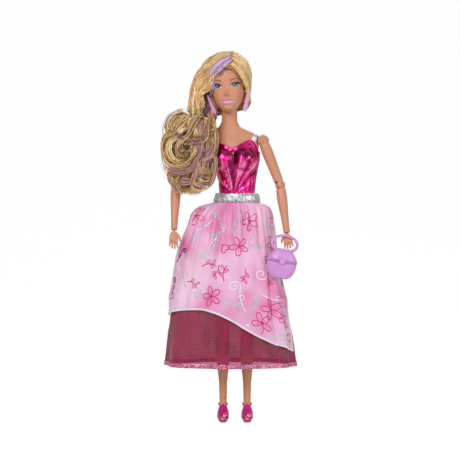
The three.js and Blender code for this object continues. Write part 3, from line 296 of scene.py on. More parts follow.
def build_finishes(looks):
    """Every finish of the doll, by name."""
    build_effects()
    skin, blond, foil, satin, net, bag = (
        tuple(getattr(looks, f"{name}_colour")) for name in ("skin", "hair", "foil", "satin", "net", "bag")
    )
    return {
        "skin": moulded("Skin plastic", skin, 0.42, 0.06, Specular_IOR_Level=0.4),
        "steel": moulded("Steel pin", tint(180, 182, 186), 0.3, 0.2, Metallic=1.0),
        "bag": moulded("Lilac plastic", bag, 0.33, 0.08),
        "earring": moulded("Earring plastic", tint(232, 164, 208), 0.26, 0.1, Coat_Weight=0.3),
        "shoe": moulded("Shoe plastic", tint(214, 40, 130), 0.22, 0.1, Coat_Weight=0.4),
        "piping": moulded("Foil piping", deeper(foil, 1.25), 0.25, 0.2, Metallic=0.6),
        "print_pink": moulded("Pink print", tint(232, 52, 128), 0.4, 0.15),
        "print_plum": moulded("Plum print", tint(104, 34, 84), 0.45, 0.2),
        "print_white": moulded("White print", tint(250, 240, 248), 0.5, 0.05),
        "print_silver": glitter_finish(
            "Silver print", tint(178, 184, 192), tint(236, 240, 244), 3200.0, 0.25
        ),
        "silver": glitter_finish("Silver glitter", tint(120, 126, 128), tint(246, 250, 250), 1300.0),
        "hem_glitter": glitter_finish("Rose glitter", tint(150, 20, 80), tint(250, 170, 205), 1500.0),
        "hair": hair_finish("Blond hair", tint(128, 76, 34), blond, tint(255, 234, 182)),
        # A darker blond for the hair under the locks, as painted shade between them.
        "hair_base": hair_finish(
            "Blond roots", tint(112, 74, 44), deeper(blond, 0.62), deeper(blond, 0.95), "Object"
        ),
        "lilac_hair": hair_finish(
            "Lilac hair", tint(150, 104, 140), tint(196, 158, 206), tint(226, 200, 232)
        ),
        "rose_hair": hair_finish("Rose hair", tint(122, 70, 72), tint(178, 126, 128), tint(214, 172, 170)),
        "face": face_finish(),
        "foil": foil_finish(foil),
        "satin": satin_finish(satin),
        "net": net_finish(net),
        "tape": tape_finish(),
    }


FINISH = {}


# Meshes


def deselect():
    bpy.ops.object.select_all(action="DESELECT")


def take(obj):
    deselect()
    obj.select_set(True)
    bpy.context.view_layer.objects.active = obj


def apply_all(obj):
    take(obj)
    for modifier in list(obj.modifiers):
        bpy.ops.object.modifier_apply(modifier=modifier.name)


def weld(obj):
    take(obj)
    bpy.ops.object.mode_set(mode="EDIT")
    bpy.ops.mesh.select_all(action="SELECT")
    bpy.ops.mesh.remove_doubles(threshold=1e-6)
    bpy.ops.mesh.normals_make_consistent(inside=False)
    bpy.ops.object.mode_set(mode="OBJECT")
    return obj


def thickened(obj, thick, offset=-1):
    """A sheet given its thickness, in millimetres."""
    solid = obj.modifiers.new("thickness", "SOLIDIFY")
    solid.thickness = thick * MM
    solid.offset = offset
    apply_all(obj)
    return obj


def new_object(name, mesh):
    obj = bpy.data.objects.new(name, mesh)
    bpy.context.scene.collection.objects.link(obj)
    return obj


def settle(obj, finish, body, nodes=(), smooth=True):
    """Gives a finished piece its material, its body and the nodes that it stands for."""
    obj.data.materials.clear()
    obj.data.materials.append(FINISH[finish])
    if smooth:
        for polygon in obj.data.polygons:
            polygon.use_smooth = True
    if body:
        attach(obj, body)
    if nodes:
        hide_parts(*nodes)
    return obj


def faces_object(name, points, faces, uvs=None):
    """An object from points in millimetres, faces and, for each face corner, a UV place."""
    mesh = bpy.data.meshes.new(name)
    mesh.from_pydata((np.asarray(points, float).reshape(-1, 3) * MM).tolist(), [], faces)
    if uvs is not None:
        mesh.uv_layers.new(name="UVMap").data.foreach_set("uv", np.array(uvs, np.float32).ravel())
    mesh.update()
    return new_object(name, mesh)


def grid(name, points, around=True, flip=False, uv=None, ends=False):
    """A mesh over rows of points; around closes each row, ends fans over the first and last row."""
    rows, columns, _ = np.shape(points)
    row, column = np.divmod(np.arange((rows - 1) * columns), columns)
    if not around:
        row, column = row[column < columns - 1], column[column < columns - 1]
    here, beside = row * columns + column, row * columns + (column + 1) % columns
    faces = np.stack([here, beside, beside + columns, here + columns], 1)
    faces = faces[:, ::-1 if flip else 1].tolist()
    if ends:
        first = list(range(columns))
        last = [(rows - 1) * columns + i for i in range(columns)]
        faces += [first, last[::-1]] if flip else [first[::-1], last]
    uvs = None if uv is None else np.reshape(uv, (-1, 2))[np.array(faces).ravel()]
    return faces_object(name, points, faces, uvs)


def store(mesh, name, values, colour=False):
    attribute = mesh.attributes.new(name, "FLOAT_COLOR" if colour else "FLOAT", "POINT")
    attribute.data.foreach_set("color" if colour else "value", np.asarray(values, np.float32).ravel())


def rounded(name, node, voxel, rounds, finish, body, keep=False):
    """A smooth copy of a faceted node: merged, remeshed finely and smoothed."""
    mesh = bpy.data.meshes.new(name)
    work = bmesh.new()
    work.from_mesh(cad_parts[node].data)
    bmesh.ops.remove_doubles(work, verts=work.verts, dist=2e-6)
    work.to_mesh(mesh)
    work.free()
    obj = new_object(name, mesh)
    remesh = obj.modifiers.new("remesh", "REMESH")
    remesh.mode = "VOXEL"
    remesh.voxel_size = voxel * MM
    blur = obj.modifiers.new("blur", "SMOOTH")
    blur.factor = 0.5
    blur.iterations = rounds
    apply_all(obj)
    return settle(obj, finish, body, () if keep else [node])


def drawn_in(obj, depth):
    """Moves each vertex inwards along its normal, so that a core stays under what covers it."""
    normals = [vertex.normal.copy() for vertex in obj.data.vertices]
    for vertex, normal in zip(obj.data.vertices, normals):
        vertex.co -= normal * depth * MM


def surface_of(*objects):
    """A search tree over the surfaces of some pieces."""
    vertices, faces, start = [], [], 0
    for obj in objects:
        vertices += [vertex.co.copy() for vertex in obj.data.vertices]
        faces += [[start + index for index in polygon.vertices] for polygon in obj.data.polygons]
        start += len(obj.data.vertices)
    return BVHTree.FromPolygons(vertices, faces)


# Sums over rows of numbers


def unit(rows):
    return rows / (np.linalg.norm(rows, axis=-1, keepdims=True) + 1e-9)


def smoothed(rows, times):
    """Eases the rows towards their neighbours in place; the first and the last are kept."""
    for _ in range(times):
        rows[1:-1] = (rows[:-2] + rows[2:] + 2 * rows[1:-1]) / 4
    return rows


def ease(value, low, high):
    share = np.clip((value - low) / (high - low), 0, 1)
    return share * share * (3 - 2 * share)


def within(value, begin, whole, fade, gone):
    """1 from whole to fade, easing to 0 at begin and at gone."""
    return ease(value, begin, whole) * (1 - ease(value, fade, gone))


def bell(value, middle, wide):
    return np.exp(-(((value - middle) / wide) ** 2))


def spin(angle):
    """The axes that turn flat points by an angle."""
    c, s = math.cos(angle), math.sin(angle)
    return np.array([[c, s], [-s, c]])


def read_rows(table, place):
    """The columns of a table at a place along its first column."""
    return [np.interp(place, table[:, 0], column) for column in table[:, 1:].T]


def rounded_rows(table, blur):
    """The rows of a table resampled finely, with their corners eased."""
    fine = np.linspace(table[0, 0], table[-1, 0], 801)
    half = max(int(blur * 400), 1)
    kernel = np.hanning(2 * half + 3)[1:-1]
    kernel /= kernel.sum()
    rows = [fine]
    for values in read_rows(table, fine):
        before = 2 * values[0] - values[half:0:-1]
        after = 2 * values[-1] - values[-2:-half - 2:-1]
        rows.append(np.convolve(np.concatenate([before, values, after]), kernel, "valid"))
    return np.array(rows).T


# Forms shared with the solids

# The torso's rows upwards: share of its height, shares of the chest's half width, of its depth in
# front and of its depth behind, and the sway of its middle
TORSO_ROWS = np.array([
    [0, 0.25, 0.55, 0.6, 0], [0.05, 0.75, 0.8, 0.95, 0], [0.1, 0.96, 0.88, 1.05, 0.2],
    [0.17, 0.97, 0.88, 1, 0.6], [0.225, 0.86, 0.82, 0.88, 0.9], [0.31, 0.75, 0.76, 0.75, 1],
    [0.41, 0.8, 0.82, 0.8, 0.95], [0.57, 0.98, 0.98, 1, 0.7], [0.645, 1.02, 0.96, 1, 0.4],
    [0.705, 1.12, 0.82, 0.94, -0.3], [0.755, 1.29, 0.62, 0.78, -0.8], [0.776, 1.22, 0.55, 0.7, -0.86],
    [0.79, 1.04, 0.5, 0.64, -0.9], [0.812, 0.74, 0.48, 0.6, -0.92], [0.838, 0.47, 0.48, 0.54, -0.95],
    [0.88, 0.35, 0.44, 0.54, -1], [1, 0.34, 0.42, 0.56, -1],
])
TORSO_FINE = rounded_rows(TORSO_ROWS, 0.018)
# Heights of the crotch, the shoulders, the hips and the dress's waist, and the torso's own height
CROTCH, SHOULDER, HIP, WAIST, TORSO = 150.0, 221.05, 158.0, 177.4, 98.0
CHEST_WIDE, CHEST_DEEP = 17.6, 12.2
# How far the body is turned about Z, in radians
BODY_TURN = -0.2
BUST_UP, BUST_ASIDE, BUST_FORWARD, BUST_RADIUS = 0.575, 8.2, 7.7, 8.4


def up_torso(share):
    return CROTCH + share * TORSO


def torso_row(z):
    return read_rows(TORSO_FINE, (np.asarray(z, float) - CROTCH) / TORSO)


def on_torso(z, aside, forward):
    """A place beside and in front of the torso's middle, turned as the torso is; millimetres."""
    sway = torso_row(z)[3]
    middle = 2 + np.where(sway > 0, 1.6, 4.4) * sway
    x = middle + aside * math.cos(BODY_TURN) + forward * math.sin(BODY_TURN)
    y = aside * math.sin(BODY_TURN) - forward * math.cos(BODY_TURN)
    return np.stack([x, y, np.broadcast_to(z, np.shape(x))], -1)


def torso_skin(z, angle, extra, busts=True):
    """The torso's surface grown by extra, at an angle from the front; millimetres."""
    z, angle = np.broadcast_arrays(np.asarray(z, float), np.asarray(angle, float))
    wide, front, back, _ = torso_row(z)
    aside = (wide * CHEST_WIDE + extra) * np.sin(angle)
    forward = (np.where(np.cos(angle) > 0, front, back) * CHEST_DEEP + extra) * np.cos(angle)
    if busts:
        reach = np.hypot(aside, forward) + 1e-9
        ux, uy = aside / reach, forward / reach
        rise = z - up_torso(BUST_UP)
        for side in (-BUST_ASIDE, BUST_ASIDE):
            along = ux * side + uy * BUST_FORWARD
            inside = along ** 2 - side ** 2 - BUST_FORWARD ** 2 + (BUST_RADIUS + extra) ** 2 - rise ** 2
            hit = along + inside / np.sqrt(np.abs(inside) + 3)
            reach = 0.5 * (reach + hit + np.sqrt((reach - hit) ** 2 + 2.5))
        aside, forward = ux * reach, uy * reach
    return on_torso(z, aside, forward)


# The dress's rows downwards: share of its length, shares of its half width to the right and left,
# and of its depth in front and behind
SKIRT_ROWS = np.array([
    [0.055, 0.5, 0.56, 0.5, 0.52], [0.095, 0.635, 0.61, 0.62, 0.64], [0.15, 0.69, 0.62, 0.68, 0.7],
    [0.22, 0.76, 0.65, 0.74, 0.76], [0.3, 0.84, 0.68, 0.79, 0.81], [0.36, 0.9, 0.705, 0.83, 0.85],
    [0.5, 0.965, 0.765, 0.9, 0.91], [0.61, 1.02, 0.83, 0.94, 0.95], [0.71, 1.042, 0.89, 0.98, 0.98],
    [0.78, 1.055, 0.955, 1, 1], [0.89, 1.07, 1.01, 1.02, 1.02], [1, 1.085, 1.05, 1.04, 1.04],
])
SKIRT_LONG = 134.0
# The overskirt's open edges: share down, and angle from the front as a share of half a turn
EDGE_ROWS = np.array([[0, 0.93], [0.15, 0.88], [0.4, 0.66], [0.65, 0.49], [0.8, 0.44], [1, 0.42]])
# The overskirt's hem: angle from the front as a share of half a turn, and share down
HEM_ROWS = np.array([
    [-1, 0.72], [-0.5, 0.71], [-0.26, 0.66], [-0.13, 0.65], [-0.07, 0.665], [0.07, 0.775],
    [0.22, 0.86], [0.42, 0.91], [1, 0.93],
])
SKIRT_FINE = rounded_rows(SKIRT_ROWS, 0.07)
HEM_FINE = rounded_rows(HEM_ROWS, 0.12)
SKIRT_WIDE, SKIRT_DEEP = 50, 29
HEM_TURN = 0.42


def edge_of(down):
    """The angle of the overskirt's open edge, from the front."""
    return read_rows(EDGE_ROWS, down)[0] * np.pi


def hem_of(aside):
    """How far down the overskirt's hem lies, at a share across it."""
    return read_rows(HEM_FINE, aside * HEM_TURN)[0]


def skirt_skin(down, angle, inset, fine=1.0):
    """A place on the dress at a share down, an angle from the front and an inset; millimetres."""
    down, angle = np.broadcast_arrays(np.asarray(down, float), np.asarray(angle, float))
    z = WAIST - 0.4 - down * SKIRT_LONG
    waist = torso_skin(z, angle, 2.3 - inset * 0.66, False)
    right, left, front, back = read_rows(SKIRT_FINE, down)
    sine, cosine = np.sin(angle), np.cos(angle)
    across = right + (left - right) * (np.clip(sine * 6, -1, 1) + 1) / 2
    deep = back + (front - back) * (np.clip(cosine * 6, -1, 1) + 1) / 2
    settled = ease(down, 0.036, 0.25)
    fold = 1.3 * settled * (np.cos(7 * angle + 0.6) + 0.4 * np.cos(11 * angle + 2))
    gather = fine * 0.75 * within(down, 0.0, 0.05, 0.1, 0.42)
    fold = fold + gather * (np.cos(31 * angle + 5 * down) + 0.5 * np.cos(47 * angle + 1.3))
    fold = fold + fine * 0.5 * settled * np.cos(19 * angle + 9 * down + 0.8)
    hanging = np.stack(
        [sine * (across * SKIRT_WIDE + fold - inset), -cosine * (deep * SKIRT_DEEP + fold - inset), z], -1
    )
    share = ease(down, 0.028, 0.062)[..., None]
    return waist * (1 - share) + hanging * share


# The head's own frame: its pivot on the neck peg, and its axes across, back and up
HEAD_AT = np.array([-2.4, 0.0, 252.5])
HEAD_AXES = np.array([[0.9898, -0.1098, 0.0913], [0.1093, 0.9940, 0.0101], [-0.0919, 0.0, 0.9958]])


def from_head(points):
    return HEAD_AT + np.asarray(points, float) @ HEAD_AXES


# The head's rows from its chin up: share of its height, of its half width, of its depth in front
# and of its depth behind
HEAD_ROWS = np.array([
    [0, 0.12, 0.66, -0.52], [0.02, 0.26, 0.76, -0.25], [0.05, 0.38, 0.84, 0.05], [0.1, 0.52, 0.88, 0.25],
    [0.16, 0.65, 0.9, 0.38], [0.22, 0.75, 0.9, 0.48], [0.3, 0.83, 0.9, 0.6], [0.38, 0.88, 0.9, 0.72],
    [0.47, 0.93, 0.89, 0.84], [0.56, 0.97, 0.9, 0.93], [0.65, 1, 0.91, 0.98], [0.74, 0.98, 0.86, 0.97],
    [0.82, 0.9, 0.76, 0.9], [0.89, 0.76, 0.6, 0.76], [0.945, 0.56, 0.42, 0.56], [0.98, 0.34, 0.25, 0.34],
    [1, 0.08, 0.06, 0.08],
])
CHIN, HEAD_TALL, HEAD_WIDE, HEAD_DEEP = -9.2, 43.6, 15.0, 17.2


# Stage

# Metres: what the camera looks at, and how far off it stands
AIM, CAMERA_FAR = Vector((-0.002, 0.0, 0.1505)), 1.5
# The photograph's millimetres in a pixel and pixels across, and the sensor in millimetres
PIXEL, PHOTO_WIDE, SENSOR = 0.79, 460, 36
# Each lamp's name, place, size and share of the key light's power; metres
LAMPS = (
    ("key", (-0.55, -1.1, 0.85), 0.5, 1.0), ("fill", (0.9, -0.9, 0.45), 0.7, 0.42),
    ("rim", (0.35, 0.75, 0.8), 0.5, 0.45),
)
LAMP_AIM = Vector((0, 0, 0.16))


def build_camera(looks):
    data = bpy.data.cameras.new("Camera")
    camera = new_object("Camera", data)
    lift = looks.camera_lift
    camera.location = AIM + Vector((0, -math.cos(lift), math.sin(lift))) * CAMERA_FAR
    camera.rotation_euler = (math.pi / 2 - lift, 0, 0)
    data.sensor_width = SENSOR
    data.lens = SENSOR * CAMERA_FAR / (PIXEL * PHOTO_WIDE * MM)
    data.clip_end = 20
    bpy.context.scene.camera = camera


def build_floor():
    """A floor that bends up into a wall, brighter to the camera than to the doll."""
    lines = []
    for x in np.linspace(-2.2, 2.2, 9):
        line = [(x, y, 0.0) for y in np.linspace(-2.6, 0.9, 8)]
        line += [(x, 0.9 + 0.6 * math.sin(a), 0.6 - 0.6 * math.cos(a)) for a in np.linspace(0.15, 1.57, 12)]
        lines.append(line + [(x, 1.5, z) for z in (1.2, 2.4)])
    floor = grid("studio_floor", np.array(lines) / MM, around=False)
    material, desk, shader = new_finish("Studio floor", 0.8)
    cloud = desk.noise(desk.place(), 3.0, 2.0)
    desk.feed(shader["Base Color"], desk.mix(cloud, full((0.86,) * 3), full((0.9,) * 3)))
    glow = desk.add("ShaderNodeEmission", Color=(1, 1, 1, 1), Strength=1.12)
    seen = desk.sums("MULTIPLY", desk.add("ShaderNodeLightPath").outputs["Is Camera Ray"], 0.8)
    blend = desk.add("ShaderNodeMixShader", Fac=seen)
    desk.feed(blend.inputs[1], desk.tree.nodes["Principled BSDF"].outputs[0])
    desk.feed(blend.inputs[2], glow.outputs[0])
    desk.feed(desk.tree.nodes["Material Output"].inputs[0], blend.outputs[0])
    floor.data.materials.append(material)


def build_room(looks):
    """Light from all around, which the camera and the shine see as white."""
    world = bpy.data.worlds.new("Studio")
    bpy.context.scene.world = world
    world.use_nodes = True
    desk = NodeDesk(world.node_tree)
    ray = desk.add("ShaderNodeLightPath").outputs
    shown = desk.sums("MAXIMUM", ray["Is Camera Ray"], ray["Is Transmission Ray"])
    shown = desk.sums("MAXIMUM", shown, desk.sums("MULTIPLY", ray["Is Glossy Ray"], 0.75))
    back = world.node_tree.nodes["Background"].inputs
    back["Color"].default_value = (1, 1, 1, 1)
    desk.feed(back["Strength"], desk.spread(shown, 0.0, 1.0, looks.room_light, 1.0))


def build_lamps(looks):
    for name, place, size, share in LAMPS:
        light = bpy.data.lights.new(name, "AREA")
        light.size = size
        light.energy = looks.key_power * share
        lamp = new_object(name, light)
        lamp.location = place
        lamp.rotation_euler = (LAMP_AIM - Vector(place)).to_track_quat("-Z", "Y").to_euler()


# Skin

SIDES = ("right", "left")
# Rooms in the trunk: balls and rods at the neck, the shoulders (x, y) and the hips (x); millimetres
NECK_AT, NECK_ROD, NECK_LONG = (-2.4, 0, 236), 2.5, 26.0
SHOULDERS_AT, SHOULDER_BALL, SHOULDER_ROD, SHOULDER_LONG = ((-26.9, 4.037), (23.9, -4.037)), 5.2, 1.7, 23.0
HIPS_AT, HIP_BALL, THIGH_ROD = (-7.5, 11.5), 8.6, 8.5
# Limb pieces: node, voxel in millimetres, rounds of smoothing, finish, body and slot
ARM = (
    ("upper_arm", 0.3, 8, "skin", "upper_arm", "skin_plastic"),
    ("forearm", 0.28, 8, "skin", "forearm", "skin_plastic"),
    ("hand", 0.2, 3, "skin", "hand", "head_vinyl"),
)
LEG = (
    ("thigh", 0.5, 8, "skin", "thigh", "skin_plastic"),
    ("shin", 0.35, 8, "skin", "shin", "skin_plastic"),
    ("shoe", 0.2, 3, "shoe", "shin", "shoe_plastic"),
)


def cut_out(obj, cutters):
    """Cuts round rooms out of a piece; the cutters are deleted."""
    for number, cutter in enumerate(cutters):
        modifier = obj.modifiers.new(f"room_{number}", "BOOLEAN")
        modifier.operation = "DIFFERENCE"
        modifier.object = cutter
    apply_all(obj)
    for cutter in cutters:
        bpy.data.objects.remove(cutter)


def ball_at(radius, x, y, z):
    bpy.ops.mesh.primitive_uv_sphere_add(
        segments=48, ring_count=24, radius=radius * MM, location=(x * MM, y * MM, z * MM)
    )
    return bpy.context.object


def rod_at(radius, length, x, y, z, turn_x=0.0, turn_y=0.0):
    """A cylinder whose middle is at a place, upright before its turns about X and Y."""
    bpy.ops.mesh.primitive_cylinder_add(
        vertices=40, radius=radius * MM, depth=length * MM, location=(x * MM, y * MM, z * MM),
        rotation=(turn_x, turn_y, 0),
    )
    return bpy.context.object


def build_trunk():
    """The trunk over the torso's rows, with rooms for the shoulders, hips and neck peg."""
    z = np.linspace(CROTCH, CROTCH + TORSO, 140)[:, None]
    angle = np.linspace(-np.pi, np.pi, 120, endpoint=False)
    trunk = weld(grid("trunk", torso_skin(z, angle, 0), ends=True))
    rooms = [rod_at(NECK_ROD, NECK_LONG, *NECK_AT)]
    for x, y in SHOULDERS_AT:
        rooms.append(ball_at(SHOULDER_BALL, x, y, SHOULDER))
        middle = x - math.copysign(SHOULDER_LONG / 2, x)
        rooms.append(rod_at(SHOULDER_ROD, SHOULDER_LONG, middle, y, SHOULDER, 0, math.pi / 2))
    for x in HIPS_AT:
        rooms.append(ball_at(HIP_BALL, x, 0, HIP))
        # Rods at three angles make room for the thigh, each a little thinner than the last
        for number, swing in enumerate((0.27, -0.3, -0.85)):
            down = 13.0 + number
            y, z = math.sin(swing) * down, HIP - math.cos(swing) * down
            rooms.append(rod_at(THIGH_ROD - 0.07 * number, 2 * down, x, y, z, swing))
    cut_out(trunk, rooms)
    settle(trunk, "skin", "torso", ["torso_front", "torso_back"], smooth=False)
    take(trunk)
    bpy.ops.object.shade_smooth_by_angle(angle=math.radians(40))


def build_limbs(pieces):
    for side in SIDES:
        for node, voxel, rounds, finish, body, slot in pieces:
            rounded(f"{node}_skin_{side}", f"{node}_{side}", voxel, rounds, finish, f"{body}_{side}")


# Face

# Places on the face across and up from the head's pivot: the eyes' middle and the smile's shift
EYE_ASIDE, EYE_UP, EYE_HALF, SMILE_DOWN = 6.75, 11.05, 3.35, 0.7
# Round forms of the face: how far out, middle and spread aside, middle and spread up
FACE_FORMS = (
    (1.9, 0, 1.45, 5.0, 1.7), (0.75, 1.7, 0.85, 4.3, 1.1), (-1.0, 6.4, 3.6, 11.2, 2.8),
    (0.75, 6.6, 2.4, 11.0, 1.7), (0.45, 6.5, 4.2, 16.2, 2.0), (0.7, 8.6, 3.6, 3.6, 3.8),
    (-0.28, 0, 0.7, 1.4, 1.0), (-0.5, 0, 3.4, -4.2, 1.0), (0.75, 0, 3.2, -6.7, 2.2),
)
INK, PUPIL, WHITE = (40, 24, 22), (10, 16, 26), (255, 255, 255)


def face_relief(x, z):
    """How far the face stands out from the plain head, in millimetres, across and up."""
    side = np.abs(x)
    relief = 1.0 * bell(x, 0, 1.35) * within(z, 3.6, 6.0, 8.5, 15.0)
    for out, aside, wide, up, tall in FACE_FORMS:
        relief = relief + out * bell(side, aside, wide) * bell(z, up, tall)
    relief = relief + 0.22 * bell(side, 6.6, 3.1) * bell(z, 13.2 - 0.06 * (side - 6.6) ** 2, 0.45)
    # The lips and the parting between them follow a bow
    z, bow = z + SMILE_DOWN, 0.05 * x * x
    relief = relief + 0.62 * bell(x, 0, 3.6) * bell(z, 0.35 + bow * 0.5 - 0.18 * bell(x, 0, 0.6), 0.8)
    relief = relief + 0.75 * bell(x, 0, 2.9) * bell(z, -1.75 + bow * 0.6, 0.95)
    return relief - 0.42 * bell(x, 0, 4.2) * bell(z, -0.55 + bow, 0.32)


def soft_edge(distance, blur=0.12):
    """1 inside a shape, 0 outside, from a signed distance that is negative inside."""
    return np.clip(0.5 - distance / (2 * blur), 0, 1)


class Paint:
    """Colour and gloss of the face, laid on in coats."""

    def __init__(self, front, skin):
        self.front = front
        self.colour = np.broadcast_to(np.array(skin), front.shape + (3,)).copy()
        self.gloss = np.zeros_like(front)

    def lay(self, mask, shade, shine=None):
        share = np.clip(mask * self.front, 0, 1)
        self.colour = self.colour * (1 - share[..., None]) + np.array(tint(*shade)) * share[..., None]
        if shine is not None:
            self.gloss = self.gloss * (1 - share) + shine * share


def paint_blush_and_shade(paint, x, z):
    side = np.abs(x)
    paint.lay(0.42 * bell(side, 9.4, 2.9) * bell(z, 3.4, 3.0), (232, 112, 104))
    # Painted shade under the nose, in the nostrils and under the chin.
    paint.lay(0.22 * bell(x, 0, 2.4) * bell(z, 3.2, 1.0), (176, 96, 70))
    paint.lay(0.5 * bell(side, 1.25, 0.42) * bell(z, 3.45, 0.3), (140, 70, 52))
    paint.lay(0.2 * bell(x, 0, 6) * bell(z, -8.8, 1.6), (178, 104, 76))


def paint_eyes(paint, x, z):
    """Each eye is an almond between two arcs; u runs outwards from its middle."""
    u = np.abs(x) - EYE_ASIDE
    arc = np.sqrt(np.clip(1 - (u / EYE_HALF) ** 2, 0, 1))
    middle = EYE_UP + 0.16 * u
    top, low = middle + 1.62 * arc, middle - arc
    paint.lay(0.6 * soft_edge(np.abs(u) - 3.6, 1.1) * within(z, 11.2, 12.4, 13.6, 15.4), (206, 122, 138))
    inside = np.minimum(soft_edge(z - top), soft_edge(low - z)) * soft_edge(np.abs(u) - 3.3)
    paint.lay(inside, (222, 222, 230), 0.9)
    iris = np.hypot(u - 0.05, (z - 11.5) * 0.95)
    paint.lay(inside * soft_edge(iris - 2.05), (14, 34, 60), 1.0)
    paint.lay(inside * soft_edge(iris - 1.6, 0.25), (36, 88, 120), 1.0)
    paint.lay(inside * soft_edge(np.hypot(u, z - 10.8) - 1.0, 0.4), (78, 140, 164), 1.0)
    paint.lay(inside * soft_edge(iris - 0.78), PUPIL, 1.0)
    dot = np.hypot(x - np.sign(x) * EYE_ASIDE + 0.6, z - 12.15) - 0.42
    paint.lay(inside * soft_edge(dot), WHITE, 1.0)
    line = np.abs(z - top - 0.15) - 0.52 - 0.3 * ease(u, -2, 3)
    paint.lay(soft_edge(line) * soft_edge(np.abs(u) - 3.45), INK)
    wing = np.abs(z - 11.9 - 0.62 * (u - 3.0)) - 0.3 * (1 - ease(u, 3.0, 4.7))
    paint.lay(soft_edge(wing) * within(u, 2.7, 3.0, 4.5, 4.8), INK)
    comb = 0.5 + 0.5 * np.cos(u * 7.5) > 0.45
    lashes = soft_edge(np.abs(z - top - 0.62) - 0.45) * comb * within(u, -2.6, -1.6, 3.6, 4.0)
    paint.lay(0.8 * lashes, (48, 28, 24))
    paint.lay(0.55 * soft_edge(np.abs(z - low + 0.06) - 0.08) * soft_edge(np.abs(u) - 3.0), (120, 66, 52))
    crease = soft_edge(np.abs(z - top - 1.45) - 0.08) * soft_edge(np.abs(u) - 2.9, 0.5)
    paint.lay(0.5 * crease, (150, 84, 72))
    # Brows: an arch that thins outwards
    arch = 16.2 + 0.06 * u - 0.055 * (u - 0.8) ** 2
    thick = 0.5 * (1 - 0.55 * ease(u, -1, 4.5)) + 0.02
    brow = soft_edge(np.abs(z - arch) - thick, 0.25) * within(u, -3.8, -3.0, 4.2, 4.8)
    paint.lay(brow * (0.8 + 0.2 * np.cos(9 * u + 5 * z)), (128, 78, 46))


def paint_lips(paint, x, z):
    """The lips with a narrow smile."""
    side, z, bend = np.abs(x), z + SMILE_DOWN, 0.052 * x * x
    middle = -0.62 + bend
    peak = 0.95 + 0.28 * bell(side, 1.1, 0.9) + 0.012 * x * x
    base = -2.65 + 0.085 * x * x
    lips = np.minimum(soft_edge(z - peak - bend * 0.25, 0.14), soft_edge(base - z, 0.14))
    lips = lips * soft_edge(side - 4.75, 0.3)
    paint.lay(lips, (208, 108, 158), 0.75)
    paint.lay(lips * soft_edge(z - middle, 0.2), (226, 146, 190), 0.85)
    teeth = soft_edge(np.abs(z - middle - 0.02) - 0.42 * (1 - ease(side, 2.4, 3.9)))
    paint.lay(0.85 * teeth * soft_edge(side - 3.6, 0.3) * lips, (246, 222, 236), 0.8)
    rim = soft_edge(np.abs(z - middle - 0.5 * (1 - ease(side, 2.4, 4.2))) - 0.08) * soft_edge(side - 4.5)
    paint.lay(0.6 * rim, (160, 64, 106))


def build_face(looks):
    """The head as one fine skin over the head's rows, with the features raised and painted."""
    rows, columns = 230, 250
    up = np.linspace(0, 1, rows)
    fine = np.linspace(0, 1, 801)
    kernel = np.hanning(31)
    kernel /= kernel.sum()
    wide, front, back = (
        np.interp(up, fine, np.convolve(np.pad(values, 15, "edge"), kernel, "valid"))[:, None]
        for values in read_rows(HEAD_ROWS, fine)
    )
    turn = np.linspace(-np.pi, np.pi, columns, endpoint=False)
    angle = turn - 0.42 * np.sin(turn)
    x = np.sin(angle) * wide * HEAD_WIDE
    y = (back - front) / 2 * HEAD_DEEP - np.cos(angle) * (front + back) / 2 * HEAD_DEEP
    z = (CHIN + up * HEAD_TALL)[:, None] + 0 * x
    facing = np.clip(np.cos(angle), 0, 1) + 0 * x
    y = y - face_relief(x, z) * ease(facing, 0.0, 0.75)
    head = grid("face_head", from_head(np.stack([x, y, z], -1)), ends=True)
    paint = Paint(ease(facing, 0.05, 0.4), looks.skin_colour)
    for coat in (paint_blush_and_shade, paint_eyes, paint_lips):
        coat(paint, x, z)
    store(head.data, "paint", np.concatenate([paint.colour, np.ones((rows, columns, 1))], -1), True)
    store(head.data, "gloss", paint.gloss)
    settle(head, "face", "head", ["head"])


# Hair

# A lock's six-sided section
SIX = np.array([[1, 0], [0.5, 0.85], [-0.5, 0.85], [-1, 0], [-0.5, -0.85], [0.5, -0.85]])
# The scalp as an egg in the head's frame
SCALP_AT, SCALP = np.array([0.0, 0.4, 14.0]), np.array([17.9, 18.9, 23.3])
# A head lock's points along it and its thickness; above this height locks are laid close to the head
LOCK_POINTS, LOCK_THICK, CLOSE_ABOVE = 30, 0.8, 254.0
STREAK_POINTS, STREAK_STRANDS, TUCKED_STRANDS = 40, 64, 60
# Ways of the hair from the parting, in the head's frame: front to back on each side
TO_SHOULDER = (
    [(4.5, -16.5, 28.5), (-3, -18, 25.5), (-11.2, -15.8, 19), (-16.8, -12, 11), (-18.2, -9.5, 1),
     (-17, -9, -10), (-16, -9, -19)],
    [(5, -14, 29), (-4, -18.5, 27), (-13.5, -16, 21), (-18.8, -11.5, 12), (-20.5, -9.5, 2),
     (-21, -9.5, -9), (-22, -9, -20)],
    [(4, -9, 34), (-7, -13, 32), (-17, -11.5, 25), (-24, -8.5, 14), (-26, -7.5, 3), (-26.5, -8, -9),
     (-27, -9, -20)],
    [(3, -2, 37.5), (-9, -4, 36), (-18.5, -5, 30.5), (-25.8, -5, 19), (-29.2, -5.5, 7), (-31, -6, -6),
     (-32, -8, -17)],
    [(2, 6, 37), (-8, 8, 33), (-17.5, 6, 24), (-24, 3, 12), (-27.5, 0, 2), (-30.5, -3, -9), (-32, -5, -18)],
    [(2, 12, 34), (-8, 16, 26), (-15, 14, 13), (-20, 9, 3), (-25, 3, -6), (-30, -2, -12), (-32, -5, -19)],
)
